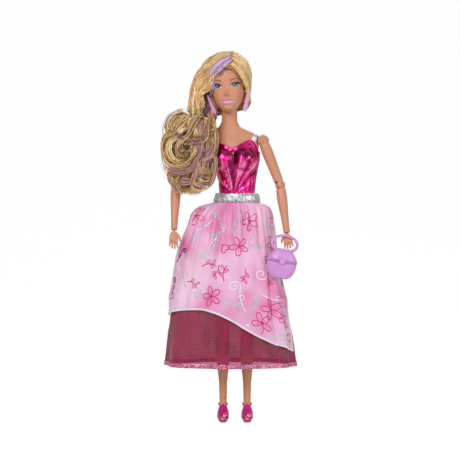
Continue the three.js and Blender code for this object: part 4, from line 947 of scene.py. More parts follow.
TO_NAPE = (
    [(5, -16, 28), (10.4, -15, 22), (14.2, -11.8, 14), (15.8, -8, 6), (15, -2, -1), (12, 5, -7)],
    [(6, -13.5, 30), (12.5, -12, 23), (17, -5, 14), (17.5, 1, 5), (15, 6, -3), (11, 9, -8)],
    [(5, -4, 36), (14, -4, 28), (19, 2, 15), (18, 7, 4), (13, 12, -4), (6, 14, -8)],
    [(4, 8, 36), (11, 13, 27), (14, 17, 13), (10, 19, 3), (2, 18, -6), (-8, 14, -10)],
    [(0, 12, 34), (-2, 20, 24), (-5, 21, 12), (-10, 19, 2), (-18, 12, -6), (-26, 3, -12)],
    [(-4, 10, 32), (-8, 16, 20), (-11, 15, 8), (-12, 10, -2), (-14, 4, -10), (-17, -2, -18)],
)
STREAK = (
    (5.5, -14.5, 31.8), (-3.2, -18, 27.1), (-9.2, -17.5, 21.3), (-13.4, -14.5, 14.4), (-15.5, -12.5, 8.0),
)
# The tucked hair's way behind the ear: place, and its share of each strand's shift aside
TUCKED = np.array([
    (-15.5, -3, 11, 0.3), (-15, -2, 3, 0.7), (-13.8, -2.5, -5, 1.0), (-14, -4, -13, 1.0),
    (-15.5, -6, -21, 0.8),
])


def curve_through(points, count):
    """An even, smooth path through a few points."""
    points = np.asarray(points, float)
    padded = np.vstack([2 * points[0] - points[1], points, 2 * points[-1] - points[-2]])
    out = []
    for place in np.linspace(0, len(points) - 1, count):
        k = min(int(place), len(points) - 2)
        t = place - k
        a, b, c, d = padded[k:k + 4]
        bent = 2 * b + (c - a) * t + (2 * a - 5 * b + 4 * c - d) * t * t
        out.append(0.5 * (bent + (3 * b - a - 3 * c + d) * t ** 3))
    return np.array(out)


def lock_mesh(name, locks):
    """One mesh of tapered flat tubes. Each lock: path, width, thickness, tone and outward side."""
    vertices, faces, uvs, tones, start = [], [], [], [], 0
    for path, width, thick, tone, outward in locks:
        count = len(path)
        ahead = unit(np.gradient(path, axis=0))
        side = unit(np.cross(ahead, np.broadcast_to(outward, path.shape)))
        over = np.cross(side, ahead)
        t = np.linspace(0, 1, count)
        taper = np.clip(t / 0.06, 0.12, 1) ** 0.6 * np.clip((1 - t) / 0.3, 0.04, 1) ** 0.7
        section = side[:, None] * SIX[:, :1] * width / 2 + over[:, None] * SIX[:, 1:] * thick / 2
        vertices.append((path[:, None] + section * taper[:, None, None]).reshape(-1, 3))
        length = np.append(0, np.cumsum(np.linalg.norm(np.diff(path, axis=0), axis=1))) / 6
        shift = tone * 37.0
        for i in range(count - 1):
            a, b = start + i * 6, start + (i + 1) * 6
            for j in range(6):
                k = (j + 1) % 6
                faces.append((a + j, b + j, b + k, a + k))
                u0, u1 = shift + j / 6, shift + (j + 1) / 6
                uvs += [u0, length[i], u0, length[i + 1], u1, length[i + 1], u1, length[i]]
        for row, order in ((0, 1), (count - 1, -1)):
            faces.append([start + row * 6 + j for j in range(6)][::order])
            uvs += [shift, length[row]] * 6
        tones.append(np.full(count * 6, tone))
        start += count * 6
    obj = faces_object(name, np.vstack(vertices), faces, uvs)
    store(obj.data, "tone", np.concatenate(tones))
    return obj


def hug(path, lift):
    """Pushes a path in the head's frame out of the scalp."""
    from_middle = (path - SCALP_AT) / SCALP
    reach = np.linalg.norm(from_middle, axis=1, keepdims=True)
    room = 1 + lift / 18
    return SCALP_AT + np.where(reach < room, from_middle / reach * room, from_middle) * SCALP


def laid_on(tree, path, lift, above=999.0):
    """Lifts a path of millimetres out of a surface, lays it down again where it is higher than
    above, and gives the outward side along it."""
    path = np.array(path, float)
    outward = np.zeros_like(path)
    for _ in range(2):
        for i, point in enumerate(path):
            place, normal, _, _ = tree.find_nearest(Vector(point * MM))
            place, normal = np.array(place) / MM, np.array(normal)
            height = (point - place) @ normal
            if height < lift or (point[2] > above and height > lift + 0.5):
                path[i] = place + normal * lift
            outward[i] = normal
        smoothed(path, 1)
    return path, smoothed(outward, 1)


def head_lock(rng, tree, way, width, lift, tone, spread):
    """A lock near a way in the head's frame, laid on the hair below it."""
    way = curve_through(np.asarray(way, float) + rng.normal(0, spread, (len(way), 3)), LOCK_POINTS)
    path, outward = laid_on(tree, from_head(hug(way, lift * 0.5)), lift, CLOSE_ABOVE)
    return path, width, LOCK_THICK, tone, outward


def between(ways, share):
    place = share * (len(ways) - 1)
    k = min(int(place), len(ways) - 2)
    return np.array(ways[k]) * (1 - place + k) + np.array(ways[k + 1]) * (place - k)


def swept_locks(rng, tree, ways, number, wide, forward):
    """Bundles of six locks from the front way to the back one; forward lets their ends swing."""
    locks = []
    while len(locks) < number:
        share, lift = len(locks) / number, rng.uniform(0.2, 1.3)
        tone = rng.normal(0.55, 0.17)
        swing = rng.uniform(-8, 3) * forward
        for _ in range(6):
            near = float(np.clip(share + rng.normal(0, 0.025), 0, 1))
            own = float(np.clip(tone + rng.normal(0, 0.07), 0.05, 0.98))
            width = wide * rng.uniform(0.4, 1.15)
            way = between(ways, near)
            way[:, 1] += swing * np.clip(np.linspace(-0.3, 2, len(way)), 0, 1)
            locks.append(head_lock(rng, tree, way, width, lift + rng.uniform(0, 0.4), own, 0.55))
    return locks


def streak_locks(rng, tree):
    """The lilac streak: strands side by side on one smooth band over the locks."""
    base, outward = laid_on(tree, from_head(hug(curve_through(STREAK, STREAK_POINTS), 2.0)), 2.9)
    smoothed(base, 40)
    smoothed(outward, 40)
    base += outward * np.interp(np.arange(STREAK_POINTS), (0, 14, 26, 39), (0, 0.5, 2.0, 0.6))[:, None]
    side = unit(np.cross(np.gradient(base, axis=0), outward))
    fullness = 0.5 + 0.6 * np.sin(np.pi * np.linspace(0.08, 0.9, STREAK_POINTS)) ** 0.8
    locks = []
    for _ in range(STREAK_STRANDS):
        slip = rng.uniform(-3.4, 3.4) * fullness
        path = base + side * slip[:, None] + outward * (rng.uniform(0, 0.7) - slip ** 2 / 40)[:, None]
        path = laid_on(tree, path, 0.5)[0]
        locks.append((path, rng.uniform(0.8, 1.5), 0.7, float(rng.uniform(0.1, 0.95)), outward))
    return locks


def tucked_locks(rng, tree):
    """Strands tucked behind the right ear, which hang down beside the neck."""
    locks = []
    for _ in range(TUCKED_STRANDS):
        way = TUCKED[:, :3].copy()
        way[:, 0] += rng.uniform(-5.0, 3.4) * TUCKED[:, 3]
        # Their tones run dark: rose hair painted darker as the shade behind the ear and earring.
        tone = float(rng.uniform(0.05, 0.7))
        locks.append(head_lock(rng, tree, way, rng.uniform(1.0, 2.4), rng.uniform(0.2, 0.8), tone, 0.5))
    return locks


def build_head_hair(looks):
    """Darker base hair over the solids, coloured as painted shade under the locks that are swept over the
    shoulder and to the nape.
    """
    rng = np.random.default_rng(11)
    crown = rounded("hair_base", "hair_crown", 0.5, 6, "hair_base", "head")
    core = rounded("wave_core", "hair_wave", 0.5, 8, "hair_base", "head", keep=True)
    drawn_in(core, 2.0)
    drawn_in(crown, 0.3)
    tree = surface_of(core, crown)
    wave = swept_locks(rng, tree, TO_SHOULDER, looks.head_locks, 2.0, 1)
    back = swept_locks(rng, tree, TO_NAPE, int(looks.head_locks * 0.8), 2.3, 0)
    settle(lock_mesh("hair_over_shoulder", wave), "hair", "head", ["hair_wave"])
    settle(lock_mesh("hair_to_nape", back), "hair", "head", ["hair_back"])
    streak = lock_mesh("hair_lilac_streak", streak_locks(rng, tree))
    settle(streak, "lilac_hair", "head", ["hair_streak"])
    settle(lock_mesh("hair_behind_ear", tucked_locks(rng, tree)), "rose_hair", "head", ())


# Flows of the long curls: number of strands, lightness, and (x, z) from the gathered top to the end; the
# lighter flows lie further out, so the lightness paints light and shade
FLOWS = (
    (26, 1.0, [(-27, 246), (-34, 238), (-42, 228), (-51, 223), (-55, 215), (-51, 206), (-42, 202),
               (-33, 207), (-30, 215)]),
    (22, 0.9, [(-24, 244), (-30, 236), (-36, 226), (-43, 217), (-42, 210), (-34, 207), (-25, 210)]),
    (20, 0.95, [(-22, 242), (-20, 232), (-24, 222), (-34, 221), (-44, 226), (-51, 222)]),
    (22, 0.6, [(-19, 240), (-14, 230), (-13, 220), (-17, 210), (-24, 206), (-23, 198), (-16, 196),
               (-15, 202), (-20, 206)]),
    (22, 0.7, [(-27, 240), (-24, 226), (-27, 211), (-32, 200), (-42, 197), (-51, 200), (-54, 207)]),
    (22, 0.5, [(-23, 236), (-19, 221), (-20, 206), (-27, 193), (-37, 189), (-46, 193), (-50, 199)]),
    (18, 0.55, [(-22, 212), (-27, 198), (-31, 188), (-26, 183), (-20, 186), (-21, 194)]),
    (18, 0.5, [(-37, 200), (-43, 190), (-40, 182), (-32, 181), (-26, 186), (-27, 194)]),
    (16, 0.4, [(-47, 201), (-49, 191), (-43, 183), (-35, 181), (-30, 185)]),
    (16, 0.35, [(-31, 240), (-39, 242.5), (-45.5, 240), (-50, 234), (-49.5, 228), (-44, 227), (-40, 233)]),
    (16, 0.3, [(-33, 242), (-42, 239), (-47, 231), (-51, 223), (-54, 213)]),
    (14, 0.45, [(-18, 236), (-16, 222), (-21, 212), (-30, 214), (-33, 221), (-28, 226)]),
    (14, 0.3, [(-30, 238), (-40, 233), (-49, 226), (-53, 216), (-50, 205), (-45, 199)]),
    (20, 0.4, [(-15, 249), (-12.5, 241), (-12.5, 231), (-15, 221), (-14, 210), (-17, 201)]),
    (20, 0.6, [(-18, 216), (-13, 206), (-13, 196), (-17, 189), (-24, 190), (-25, 198), (-18, 202)]),
)
CURL_MIDDLE = np.array([-34.0, -10.5, 212.0])
# The room that the curls keep to, its corners rounded by a power
ROOM_MIDDLE, ROOM_HALF, ROOM_POWER = np.array([-33.8, -14.7, 213.4]), np.array([22.2, 10.3, 34.8]), 3.6


def drawn_to_middle(way, share):
    """A flow shrunk to the curls' middle, or grown from it."""
    middle = CURL_MIDDLE[[0, 2]]
    return middle + (np.array(way, float) - middle) * share


def wave_along(rng, fewest, most, t):
    """A wave along t with a random number of turns and a random start."""
    return np.sin(2 * np.pi * (rng.uniform(fewest, most) * t + rng.random()))


def strand(rng, way, depth, spread, waviness, count):
    """One strand beside a flow: shifted, cut shorter and waved a little differently."""
    first, last = rng.uniform(0, 0.22), rng.uniform(0.72, 1.0)
    guide = curve_through(way, 90)[int(first * 89):int(last * 89) + 1]
    t = np.linspace(0, 1, count)
    path = np.stack([np.interp(t, np.linspace(0, 1, len(guide)), line) for line in guide.T], 1)
    path = drawn_to_middle(path, 1 + rng.normal(0, 0.07))
    ahead = unit(np.gradient(path, axis=0))
    shift = rng.normal(0, spread) * (0.45 + 0.75 * t) + waviness * wave_along(rng, 1.0, 2.2, t)
    x = path[:, 0] - ahead[:, 1] * shift
    z = path[:, 1] + ahead[:, 0] * shift
    y = (depth + 9 + rng.normal(0, 1.0)) * ease(t + first, -0.45, 0.2) - 9
    return np.stack([x, y + (0.8 + 1.4 * t) * wave_along(rng, 0.6, 1.6, t), z], 1)


def held(reach):
    """Bends what goes beyond 0.8 softly back, so that it stays below 1."""
    return np.where(reach > 0.8, 0.8 + 0.2 * np.tanh((reach - 0.8) / 0.2), reach)


def keep_inside(path, slack=1.0):
    """Bends a path softly back where it leaves the room of the curls."""
    half = ROOM_HALF * (slack, 1, slack)
    share = (path - ROOM_MIDDLE) / half
    reach = (np.abs(share[:, [0, 2]]) ** ROOM_POWER).sum(1) ** (1 / ROOM_POWER)
    share[:, [0, 2]] *= (held(reach) / np.maximum(reach, 1e-6))[:, None]
    share[:, 1] = np.sign(share[:, 1]) * held(np.abs(share[:, 1]))
    return ROOM_MIDDLE + share * half


def fanned(rng, base, loose):
    """A strand beside a lock's middle path, opening out towards its end."""
    t = np.linspace(0, 1, len(base))[:, None]
    aside = np.cross(unit(np.gradient(base, axis=0)), [0, -1.0, 0])
    shift = rng.normal(0, loose) * (0.5 + 1.1 * t) + 0.3 * wave_along(rng, 1, 3, t)
    deep = rng.normal(0, 0.45) * (0.6 + t)
    last = int(rng.uniform(0.86, 1.0) * len(base))
    return (base + aside * shift + np.array([0, 1.0, 0]) * deep)[:last]


def build_curls(looks):
    """The long curls over the right shoulder: locks of fanned strands around a core coloured dark as painted
    shade between them.
    """
    rng = np.random.default_rng(5)
    core = rounded("curl_core", "hair_curls", 1.0, 14, "hair_base", None)
    drawn_in(core, 3.2)
    tree = surface_of(core)
    front, back, rose = [], [], []
    share = looks.curl_locks / 250
    for number, light, way in FLOWS:
        bundle = rng.normal(0, 0.06)
        for _ in range(int(number * share / 5)):
            # Lighter flows lie further out: the tone paints outer strands lighter and deeper ones darker, as
            # light and shade.
            depth = -12.5 - 8.5 * light + rng.uniform(-2.5, 2.5)
            base = strand(rng, way, depth, 2.3, rng.uniform(0.2, 1.0), 36)
            base, outward = laid_on(tree, base, rng.uniform(0.4, 3.0))
            tone = rng.normal(0.34 + 0.24 * light + bundle, 0.22)
            reddish = way[0][0] > -24 and rng.random() < 0.45 or rng.random() < 0.04
            for _ in range(6):
                path = keep_inside(fanned(rng, base, 0.75), rng.uniform(0.94, 1.02))
                width = rng.choice([0.4, 0.7, 1.1, 1.6], p=[0.3, 0.4, 0.22, 0.08])
                own = float(np.clip(tone + rng.normal(0, 0.08), 0.02, 1))
                (rose if reddish else front).append((path, width, 0.45, own, outward[:len(path)]))
        # The same flow behind, drawn closer together, fills the side and the back of the mass, toned darker
        # as painted shade
        for _ in range(int(number * share * 0.8)):
            inner = drawn_to_middle(way, rng.uniform(0.75, 1.0))
            path = keep_inside(strand(rng, inner, rng.uniform(-15, -8), 2.6, rng.uniform(0.2, 0.9), 34))
            tone = float(np.clip(rng.normal(0.3, 0.16), 0.02, 1))
            outward = (path - CURL_MIDDLE) * np.array([0.6, 1.4, 0.6])
            back.append((path, rng.uniform(0.7, 2.2), 0.5, tone, outward))
    for _ in range(int(40 * share)):
        _, light, way = FLOWS[rng.integers(len(FLOWS))]
        wisp = drawn_to_middle(way, rng.uniform(1.0, 1.1))
        path = strand(rng, wisp, -17 - 6 * light * rng.random(), 2.8, 0.9, 36)
        path = keep_inside(path, rng.uniform(0.97, 1.04))
        # Loose wisps at the outside are toned light, as painted highlight.
        width, tone = rng.uniform(0.22, 0.4), float(rng.uniform(0.7, 1))
        front.append((path, width, 0.25, tone, np.array([0.1, -1, 0.1])))
    pieces = [
        core,
        settle(lock_mesh("curls", front), "hair", None, ["hair_curls"]),
        settle(lock_mesh("curls_behind", back), "hair", None, ()),
        settle(lock_mesh("rose_curls", rose), "rose_hair", None, ()),
    ]
    for obj in pieces:
        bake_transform(obj)


def build_earrings():
    for side in SIDES:
        rounded(f"drop_earring_{side}", f"earring_{side}", 0.18, 3, "earring", "head")


# Dress

# Folds of the foil: slant from the middle of the waist, width, height and lightness; the lightness is painted
# light and shade along each fold
FOIL_FOLDS = (
    (0.0, 0.12, -0.5, -0.38), (-0.2, 0.035, 0.6, 0.5), (-0.33, 0.09, 0.4, 0.3), (-0.5, 0.04, -0.5, -0.3),
    (-0.66, 0.06, 0.5, 0.28), (-0.85, 0.06, -0.4, -0.25), (0.2, 0.03, 0.7, 0.6), (0.31, 0.08, 0.4, 0.28),
    (0.45, 0.035, -0.5, -0.34), (0.57, 0.06, 0.5, 0.3), (0.75, 0.05, -0.4, -0.28), (0.95, 0.08, 0.4, 0.2),
)
# Painted highlights and shade on the foil, brightest on the busts: across, height, size and lightness
FOIL_PAINTED_LIGHTS = (
    (-11.5, 205.6, 1.3, 0.8), (13.4, 207.4, 1.3, 0.8), (-8, 214, 4.5, 0.2), (9, 213, 4.5, 0.24),
    (1.5, 203, 4.0, -0.2), (16.5, 200, 3.0, 0.25), (-14, 197, 3.0, 0.2),
)


# How far the bodice stands off the skin, and the thicknesses of the cloths and the straps
BODICE_OFF, FOIL_THICK, SATIN_THICK, NET_THICK, STRAP_THICK = 0.95, 0.35, 0.4, 0.15, 0.6
# A strap's height and place aside on the shoulder, its half width and its points across
STRAP_UP, STRAP_ASIDE, STRAP_HALF, STRAP_POINTS = 219.5, 16.9, 2.0, 9
# The overskirt's hem: how thick and how wide it is turned; the glitter tape's height
HEM_THICK, HEM_BROAD, TRIM_TALL = 1.1, 1.5, 3.4


def neckline(angle):
    """The height of the bodice's upper edge: a V in front, straight behind."""
    aside = np.abs(np.sin(angle)) * 1.1
    front = np.interp(aside, [0, 0.7, 0.92, 1.06, 1.12], [0.66, 0.722, 0.722, 0.64, 0.62])
    top = np.where(np.cos(angle) > 0, front, np.interp(aside, [0, 0.8, 1.1], [0.598, 0.6, 0.62]))
    for _ in range(3):
        top = (np.roll(top, 1) + 2 * top + np.roll(top, -1)) / 4
    return up_torso(top)


def build_bodice():
    """The foil bodice: a skin over the chest with folds that meet at the waist, their light and shade painted
    into its colour, and its piping.
    """
    angle = np.linspace(-np.pi, np.pi, 220, endpoint=False)
    top = neckline(angle)
    share = np.linspace(0, 1, 90)[:, None]
    low = WAIST - 1.2
    z = low + share * (top - low)
    x = torso_skin(z, angle, BODICE_OFF)[..., 0]
    # Folds fan out from the middle of the waist to each side of the chest
    slant = np.arctan2(x - 0.6, np.maximum(z - 178.0, 0.3))
    reach = np.hypot(x - 0.6, z - 178.0)
    front = ease(np.cos(angle), -0.2, 0.3)
    fan = ease(reach, 1.0, 7) * (1 - ease(z, 203, 211)) * front
    fold = np.zeros_like(z)
    # The tone is painted light and shade: darker over the upper chest, light and dark bands along the folds,
    # and painted highlights on the busts.
    tone = 0.52 - 0.3 * ease(z, 203, 210) * front
    for centre, wide, high, light in FOIL_FOLDS:
        fold = fold + high * bell(slant, centre, wide) * fan
        tone = tone + light * bell(slant, centre, wide) * fan
    for place_x, place_z, size, light in FOIL_PAINTED_LIGHTS:
        tone = tone + light * bell(np.hypot(x - place_x, z - place_z), 0, size) * front
    rng = np.random.default_rng(3)
    crumple = np.zeros_like(z)
    for _ in range(14):
        k = rng.normal(0, 1, 2) * np.array([9.0, 0.5])
        crumple = crumple + np.cos(k[0] * angle + k[1] * z + rng.uniform(0, 6.28)) * 0.05
    relief = (fold * 0.8 + crumple) * ease(1 - share, 0.0, 0.06)
    bodice = grid("foil_bodice", torso_skin(z, angle, BODICE_OFF + relief))
    # The stored fold value is the painted light and shade of the foil; the crumples lighten and darken it
    # with their relief.
    store(bodice.data, "fold", np.clip(tone + crumple * 0.7, 0, 1))
    settle(thickened(bodice, FOIL_THICK), "foil", "torso", ["bodice"])

    rings = [
        torso_skin(top + 0.42 * math.sin(turn), angle, 1.1 + 0.42 * math.cos(turn))
        for turn in np.linspace(0, 2 * np.pi, 8, endpoint=False)
    ]
    piping = weld(grid("neckline_piping", rings + rings[:1], flip=True))
    settle(piping, "piping", "torso", ())


def build_strap(name, side, tree):
    """A flat glitter band laid over one shoulder, its ends under the bodice."""
    rows, last = [], None
    for turn in np.linspace(-0.5, math.pi + 1.0, 84):
        up = max(math.sin(turn), 0.0)
        behind = float(ease(turn, 1.8, math.pi + 0.8))
        forward = np.array([math.sin(BODY_TURN), -math.cos(BODY_TURN), 0])
        outward = forward * math.cos(turn) + np.array([0, 0, math.sin(turn)])
        for across in np.linspace(-STRAP_HALF, STRAP_HALF, STRAP_POINTS):
            aside = STRAP_ASIDE + 2.3 * up - 4.5 * behind + across
            inside = on_torso(STRAP_UP, side * aside, 0.0)
            far = Vector((inside + outward * 30) * MM)
            place, normal, _, _ = tree.ray_cast(far, Vector(-outward), 0.06)
            if place is not None:
                last = np.array(place) / MM + np.array(normal) * (0.12 + 0.3 * up)
            rows.append(last)
    points = smoothed(np.reshape(rows, (-1, STRAP_POINTS, 3)), 3)
    band = grid(f"glitter_strap_{name}", points, around=False, flip=side > 0)
    settle(thickened(band, STRAP_THICK, 1), "silver", "torso", [f"strap_{name}"])


def build_straps():
    tree = surface_of(bpy.data.objects["trunk"])
    build_strap("right", -1, tree)
    build_strap("left", 1, tree)
    rounded("fastener_tape", "back_fastener", 0.25, 2, "tape", "torso")


def build_belt():
    """A band around the waist; its section is rows of a drop and how far out."""
    angle = np.linspace(-np.pi, np.pi, 180, endpoint=False)
    section = [
        (-7.0, 0.0), (-7.0, 0.9), (-6.6, 1.3), (-4.5, 1.5), (-2.5, 1.5), (-0.4, 1.3), (0, 0.9), (0, 0.0),
    ]
    rows = []
    for drop, grow in section + section[:1]:
        wobble = 0.12 * np.cos(5 * angle + drop) * (grow > 0.5)
        rows.append(torso_skin(WAIST + 2.3 + drop, angle, 2.5 + grow + wobble, False))
    settle(weld(grid("glitter_belt", rows)), "silver", "torso", ["belt"])


def satin_place(row, aside):
    """A place on the overskirt: row 0 at the waist to 1 at its hem, aside -1 to 1 across it."""
    row, aside = np.broadcast_arrays(np.asarray(row, float), np.asarray(aside, float))
    down = np.where(row <= 0.2, row, 0.2 + (row - 0.2) / 0.8 * (hem_of(aside) - 0.2))
    return down, aside * edge_of(down)


# Pleats of the overskirt: angle, drift down the skirt, width, depth, and where each fades in and out
PLEATS = (
    (0.15, 0.1, 0.05, -1.9, 0.01, 0.05, 0.13, 0.26), (0.04, -0.1, 0.05, 1.5, 0.01, 0.06, 0.15, 0.34),
    (0.26, 0.2, 0.05, 1.2, 0.01, 0.06, 0.16, 0.36), (-0.12, -0.3, 0.06, -1.0, 0.02, 0.08, 0.2, 0.5),
    (-0.3, -0.3, 0.05, 0.9, 0.02, 0.08, 0.2, 0.4), (0.5, 0.35, 0.07, -1.1, 0.02, 0.1, 0.3, 0.7),
    (0.95, -0.2, 0.06, 1.9, 0.2, 0.5, 1.0, 1.2), (1.15, -0.22, 0.08, -1.2, 0.2, 0.5, 1.0, 1.2),
    (-0.75, -0.1, 0.07, 1.0, 0.1, 0.3, 0.7, 0.9), (-1.2, 0.1, 0.08, -1.0, 0.15, 0.4, 1.0, 1.2),
)


def satin_skin(down, angle, lift=0.0):
    """A place on the pleated overskirt, lifted off it; millimetres."""
    inset = 0.0
    for at, drift, wide, deep, *fading in PLEATS:
        inset = inset + deep * bell(angle, at + drift * down, wide) * within(down, *fading)
    return skirt_skin(down, angle, inset - lift)


def build_overskirt(looks):
    """The satin overskirt with its print and its hem, which move with it as one sheet."""
    row = np.linspace(0, 1, 120)[:, None]
    aside = np.linspace(-1, 1, 390)
    uv = np.stack(np.broadcast_arrays(aside * 0.16, row * 0.12), -1)
    points = satin_skin(*satin_place(row, aside))
    satin = thickened(grid("satin_overskirt", points, around=False, flip=True, uv=uv), SATIN_THICK)
    settle(satin, "satin", "torso", ["overskirt"])
    prints = build_print(looks)
    hem = build_hem()


def inside_satin(down, angle):
    """Whether a place lies on the overskirt, a little in from its edges."""
    aside = angle / edge_of(down)
    return (np.abs(aside) < 0.97) & (down < hem_of(aside) - 0.02) & (down > 0.065)


def spiral(turns, size, start=0.0, sense=1.0):
    t = np.linspace(0, 1, int(16 * turns) + 4)
    radius = size * (1 - 0.86 * t)
    turn = start + sense * turns * 2 * np.pi * t
    return np.stack([radius * np.cos(turn), radius * np.sin(turn)], -1)


def petal(angle, length, wide):
    t = np.linspace(0, 2 * np.pi, 17)
    along = 0.5 - 0.5 * np.cos(t)
    return np.stack([length * along, wide * np.sin(t) * (0.6 + 0.4 * along)], -1) @ spin(angle)


def flower(size, turn, _):
    strokes = []
    for angle in turn + np.arange(5) * 2 * np.pi / 5:
        vein = np.array([[0.25, 0], [0.6, 0]]) * size
        strokes += [(petal(angle, size, size * 0.3), 0.5), (vein @ spin(angle), 0.3)]
    return strokes + [(spiral(1.0, size * 0.16), 0.4)]


def leaf_spray(size, turn, _):
    t = np.linspace(0, 1, 12)
    stem = np.stack([t * size * 2, 0.35 * size * np.sin(t * 3)], -1)
    strokes = [(stem @ spin(turn), 0.45)]
    for share, side in ((0.35, 1), (0.55, -1), (0.8, 1)):
        leaf = petal(side * 0.9, size * 0.7, size * 0.16) + stem[int(share * 11)]
        strokes.append((leaf @ spin(turn), 0.4))
    return strokes


def heart(size, turn, _):
    t = np.linspace(0, 2 * np.pi, 25)
    y = 13 * np.cos(t) - 5 * np.cos(2 * t) - 2 * np.cos(3 * t) - np.cos(4 * t)
    return [(np.stack([16 * np.sin(t) ** 3, y], -1) * size * 0.06 @ spin(turn), 0.45)]


def scroll(size, turn, sense):
    curl = spiral(1.35, size * 0.55, 0, sense) + np.array([-size * 0.55, 0])
    t = np.linspace(0, 1, 14)
    tail = np.stack([size * 0.9 * t ** 2, -sense * size * 2.0 * t], -1)
    branch = spiral(1.0, size * 0.34, np.pi, -sense) + np.array([size * 0.34, -sense * size * 0.9])
    return [(np.vstack([curl[::-1], tail[1:]]) @ spin(turn), 0.62), (branch @ spin(turn), 0.45)]


# The motifs in turn: how each is drawn, the room it takes, its size as a share of that, and its ink
MOTIFS = (
    (flower, 8.2, 1.0, "pink"), (scroll, 7.6, 1.0, "silver"), (leaf_spray, 7.4, 0.8, "pink"),
    (scroll, 10.0, 0.9, "white"), (heart, 4.4, 0.8, "pink"), (scroll, 6.4, 1.0, "silver"),
    (scroll, 5.6, 0.8, "plum"),
)
# The first motifs keep more room around them than the ones that fill in between
LOOSE_MOTIFS, LOOSE_ROOM, CLOSE_ROOM, MOST_TRIES = 70, 0.82, 0.55, 9000
PRINT_OFF = 0.14


def scatter(number):
    """Strokes of motifs scattered over the overskirt: places down and around, and width, by ink."""
    rng = np.random.default_rng(21)
    strokes = {"pink": [], "silver": [], "white": [], "plum": []}
    placed, tries = [], 0
    while len(placed) < number and tries < MOST_TRIES:
        tries += 1
        down, angle = rng.uniform(0.08, 0.92), rng.uniform(-2.5, 2.5)
        if not inside_satin(down + 0.02, angle):
            continue
        here = satin_skin(down, angle)
        draw, size, share, ink = MOTIFS[len(placed) % len(MOTIFS)]
        size *= rng.uniform(0.85, 1.15)
        room = size * (LOOSE_ROOM if len(placed) < LOOSE_MOTIFS else CLOSE_ROOM)
        if any(np.linalg.norm(here - other) < room + taken for other, taken in placed):
            continue
        drawn = draw(size * share, rng.uniform(0, 6.28), rng.choice([-1.0, 1.0]))
        if draw is heart:
            ink = rng.choice(["pink", "silver"])
        # Plum ink stays on the skirt's sides: print, darkened there as painted shade on the turning sides.
        elif ink == "plum" and abs(angle) <= 0.75:
            ink = "silver"
        placed.append((here, room * 0.9))
        pace = 0.01 / max(np.linalg.norm(satin_skin(down, angle + 0.01) - here), 1e-6)
        for points, width in drawn:
            strokes[ink].append((down - points[:, 1] / SKIRT_LONG, angle + points[:, 0] * pace, width * 1.8))
    return strokes


def printed(name, strokes):
    """One mesh of flat bands along strokes, cut where they leave the overskirt."""
    vertices, faces = [], []
    for down, angle, width in strokes:
        keep = inside_satin(down, angle)
        if not keep.all():
            first = int(np.argmax(keep))
            last = first + int(np.argmin(np.append(keep[first:], False)))
            if last - first < 3:
                continue
            down, angle = down[first:last], angle[first:last]
        points = satin_skin(down, angle, PRINT_OFF)
        normal = unit(points - satin_skin(down, angle))
        side = unit(np.cross(np.gradient(points, axis=0), normal)) * width / 2
        start = len(vertices)
        end = start + (len(points) - 1) * 4
        for p, q, n in zip(points, side, normal):
            vertices += [p - q - n * 0.1, p - q * 0.6, p + q * 0.6, p + q - n * 0.1]
        for a in range(start, end, 4):
            faces += [(a + k, a + k + 4, a + k + 5, a + k + 1) for k in range(3)]
            faces.append((a + 3, a + 7, a + 4, a))
        faces += [(start + 3, start + 2, start + 1, start), (end, end + 1, end + 2, end + 3)]
    return weld(faces_object(name, vertices, faces))


def build_print(looks):
    """The printed pattern: flowers, leaves and hearts in pink, scrolls in silver, white and plum."""
    return [
        settle(printed(f"skirt_print_{ink}", strokes), f"print_{ink}", "torso", ())
        for ink, strokes in scatter(looks.print_motifs).items()
    ]


def build_hem():
    """The turned and stitched hem of the overskirt, with its side edges."""
    up = np.linspace(1, 0.12, 120)
    low = satin_place(1, np.linspace(-1, 1, 260))
    left, right = satin_place(up[::-1], -1), satin_place(up, 1)
    down, angle = (np.concatenate([left[k][:-1], low[k], right[k][1:]]) for k in (0, 1))
    middle = satin_skin(down, angle, -0.2)
    out = unit(satin_skin(down, angle, 0.2) - middle)
    side = np.cross(unit(np.gradient(middle, axis=0)), out)
    section = ((0.38, 0.5), (-0.38, 0.5), (-0.5, 0), (-0.38, -0.5), (0.38, -0.5), (0.5, 0))
    rows = np.stack([middle + out * a * HEM_THICK + side * b * HEM_BROAD for a, b in section], 1)
    return settle(weld(grid("satin_hem", rows, ends=True)), "print_white", "torso", ())


def net_skin(down, angle, lift=0.0):
    """A place on the petticoat: under the overskirt, and further out past its open edges."""
    edge = edge_of(down)
    past = ease(np.abs(angle), edge + 0.325, edge + 0.65)
    inset = 2.0 + ease(down, 0.05, 0.25) * 0.8 - past * 4.2 * ease(down, 0.25, 0.5)
    return skirt_skin(down, angle, inset - lift, 0.6)


def build_petticoat():
    """The net petticoat and the glitter tape around its hem."""
    angle = np.linspace(-np.pi, np.pi, 420, endpoint=False)
    down = np.linspace(0.012, 1, 110)[:, None]
    uv = np.stack(np.broadcast_arrays(angle * 0.045, down * 0.134), -1)
    net = thickened(grid("net_petticoat", net_skin(down, angle), flip=True, uv=uv), NET_THICK)
    settle(net, "net", "torso", ["petticoat"])
    band = np.linspace(1 - TRIM_TALL / SKIRT_LONG, 1, 8)[:, None]
    outer, inner = net_skin(band, angle, 0.5), net_skin(band, angle, 0.25)[::-1]
    trim = weld(grid("hem_tape", np.concatenate([outer, inner, outer[:1]])))
    settle(trim, "hem_glitter", "torso", ["petticoat_trim"])


# Bag

# The bag's own frame: the middle of its ring's two pins, and its tilt
BAG_AT, BAG_TILT = np.array([39.8892, -21.6309, 135.3882]), 0.157
BAG_WIDE, BAG_DEEP, BAG_WALL = 12.6, 6.6, 1.1
RING_WIDE, RING_TALL, RING_THICK, RING_UP = 9.9, 6.4, 1.1, 4.89
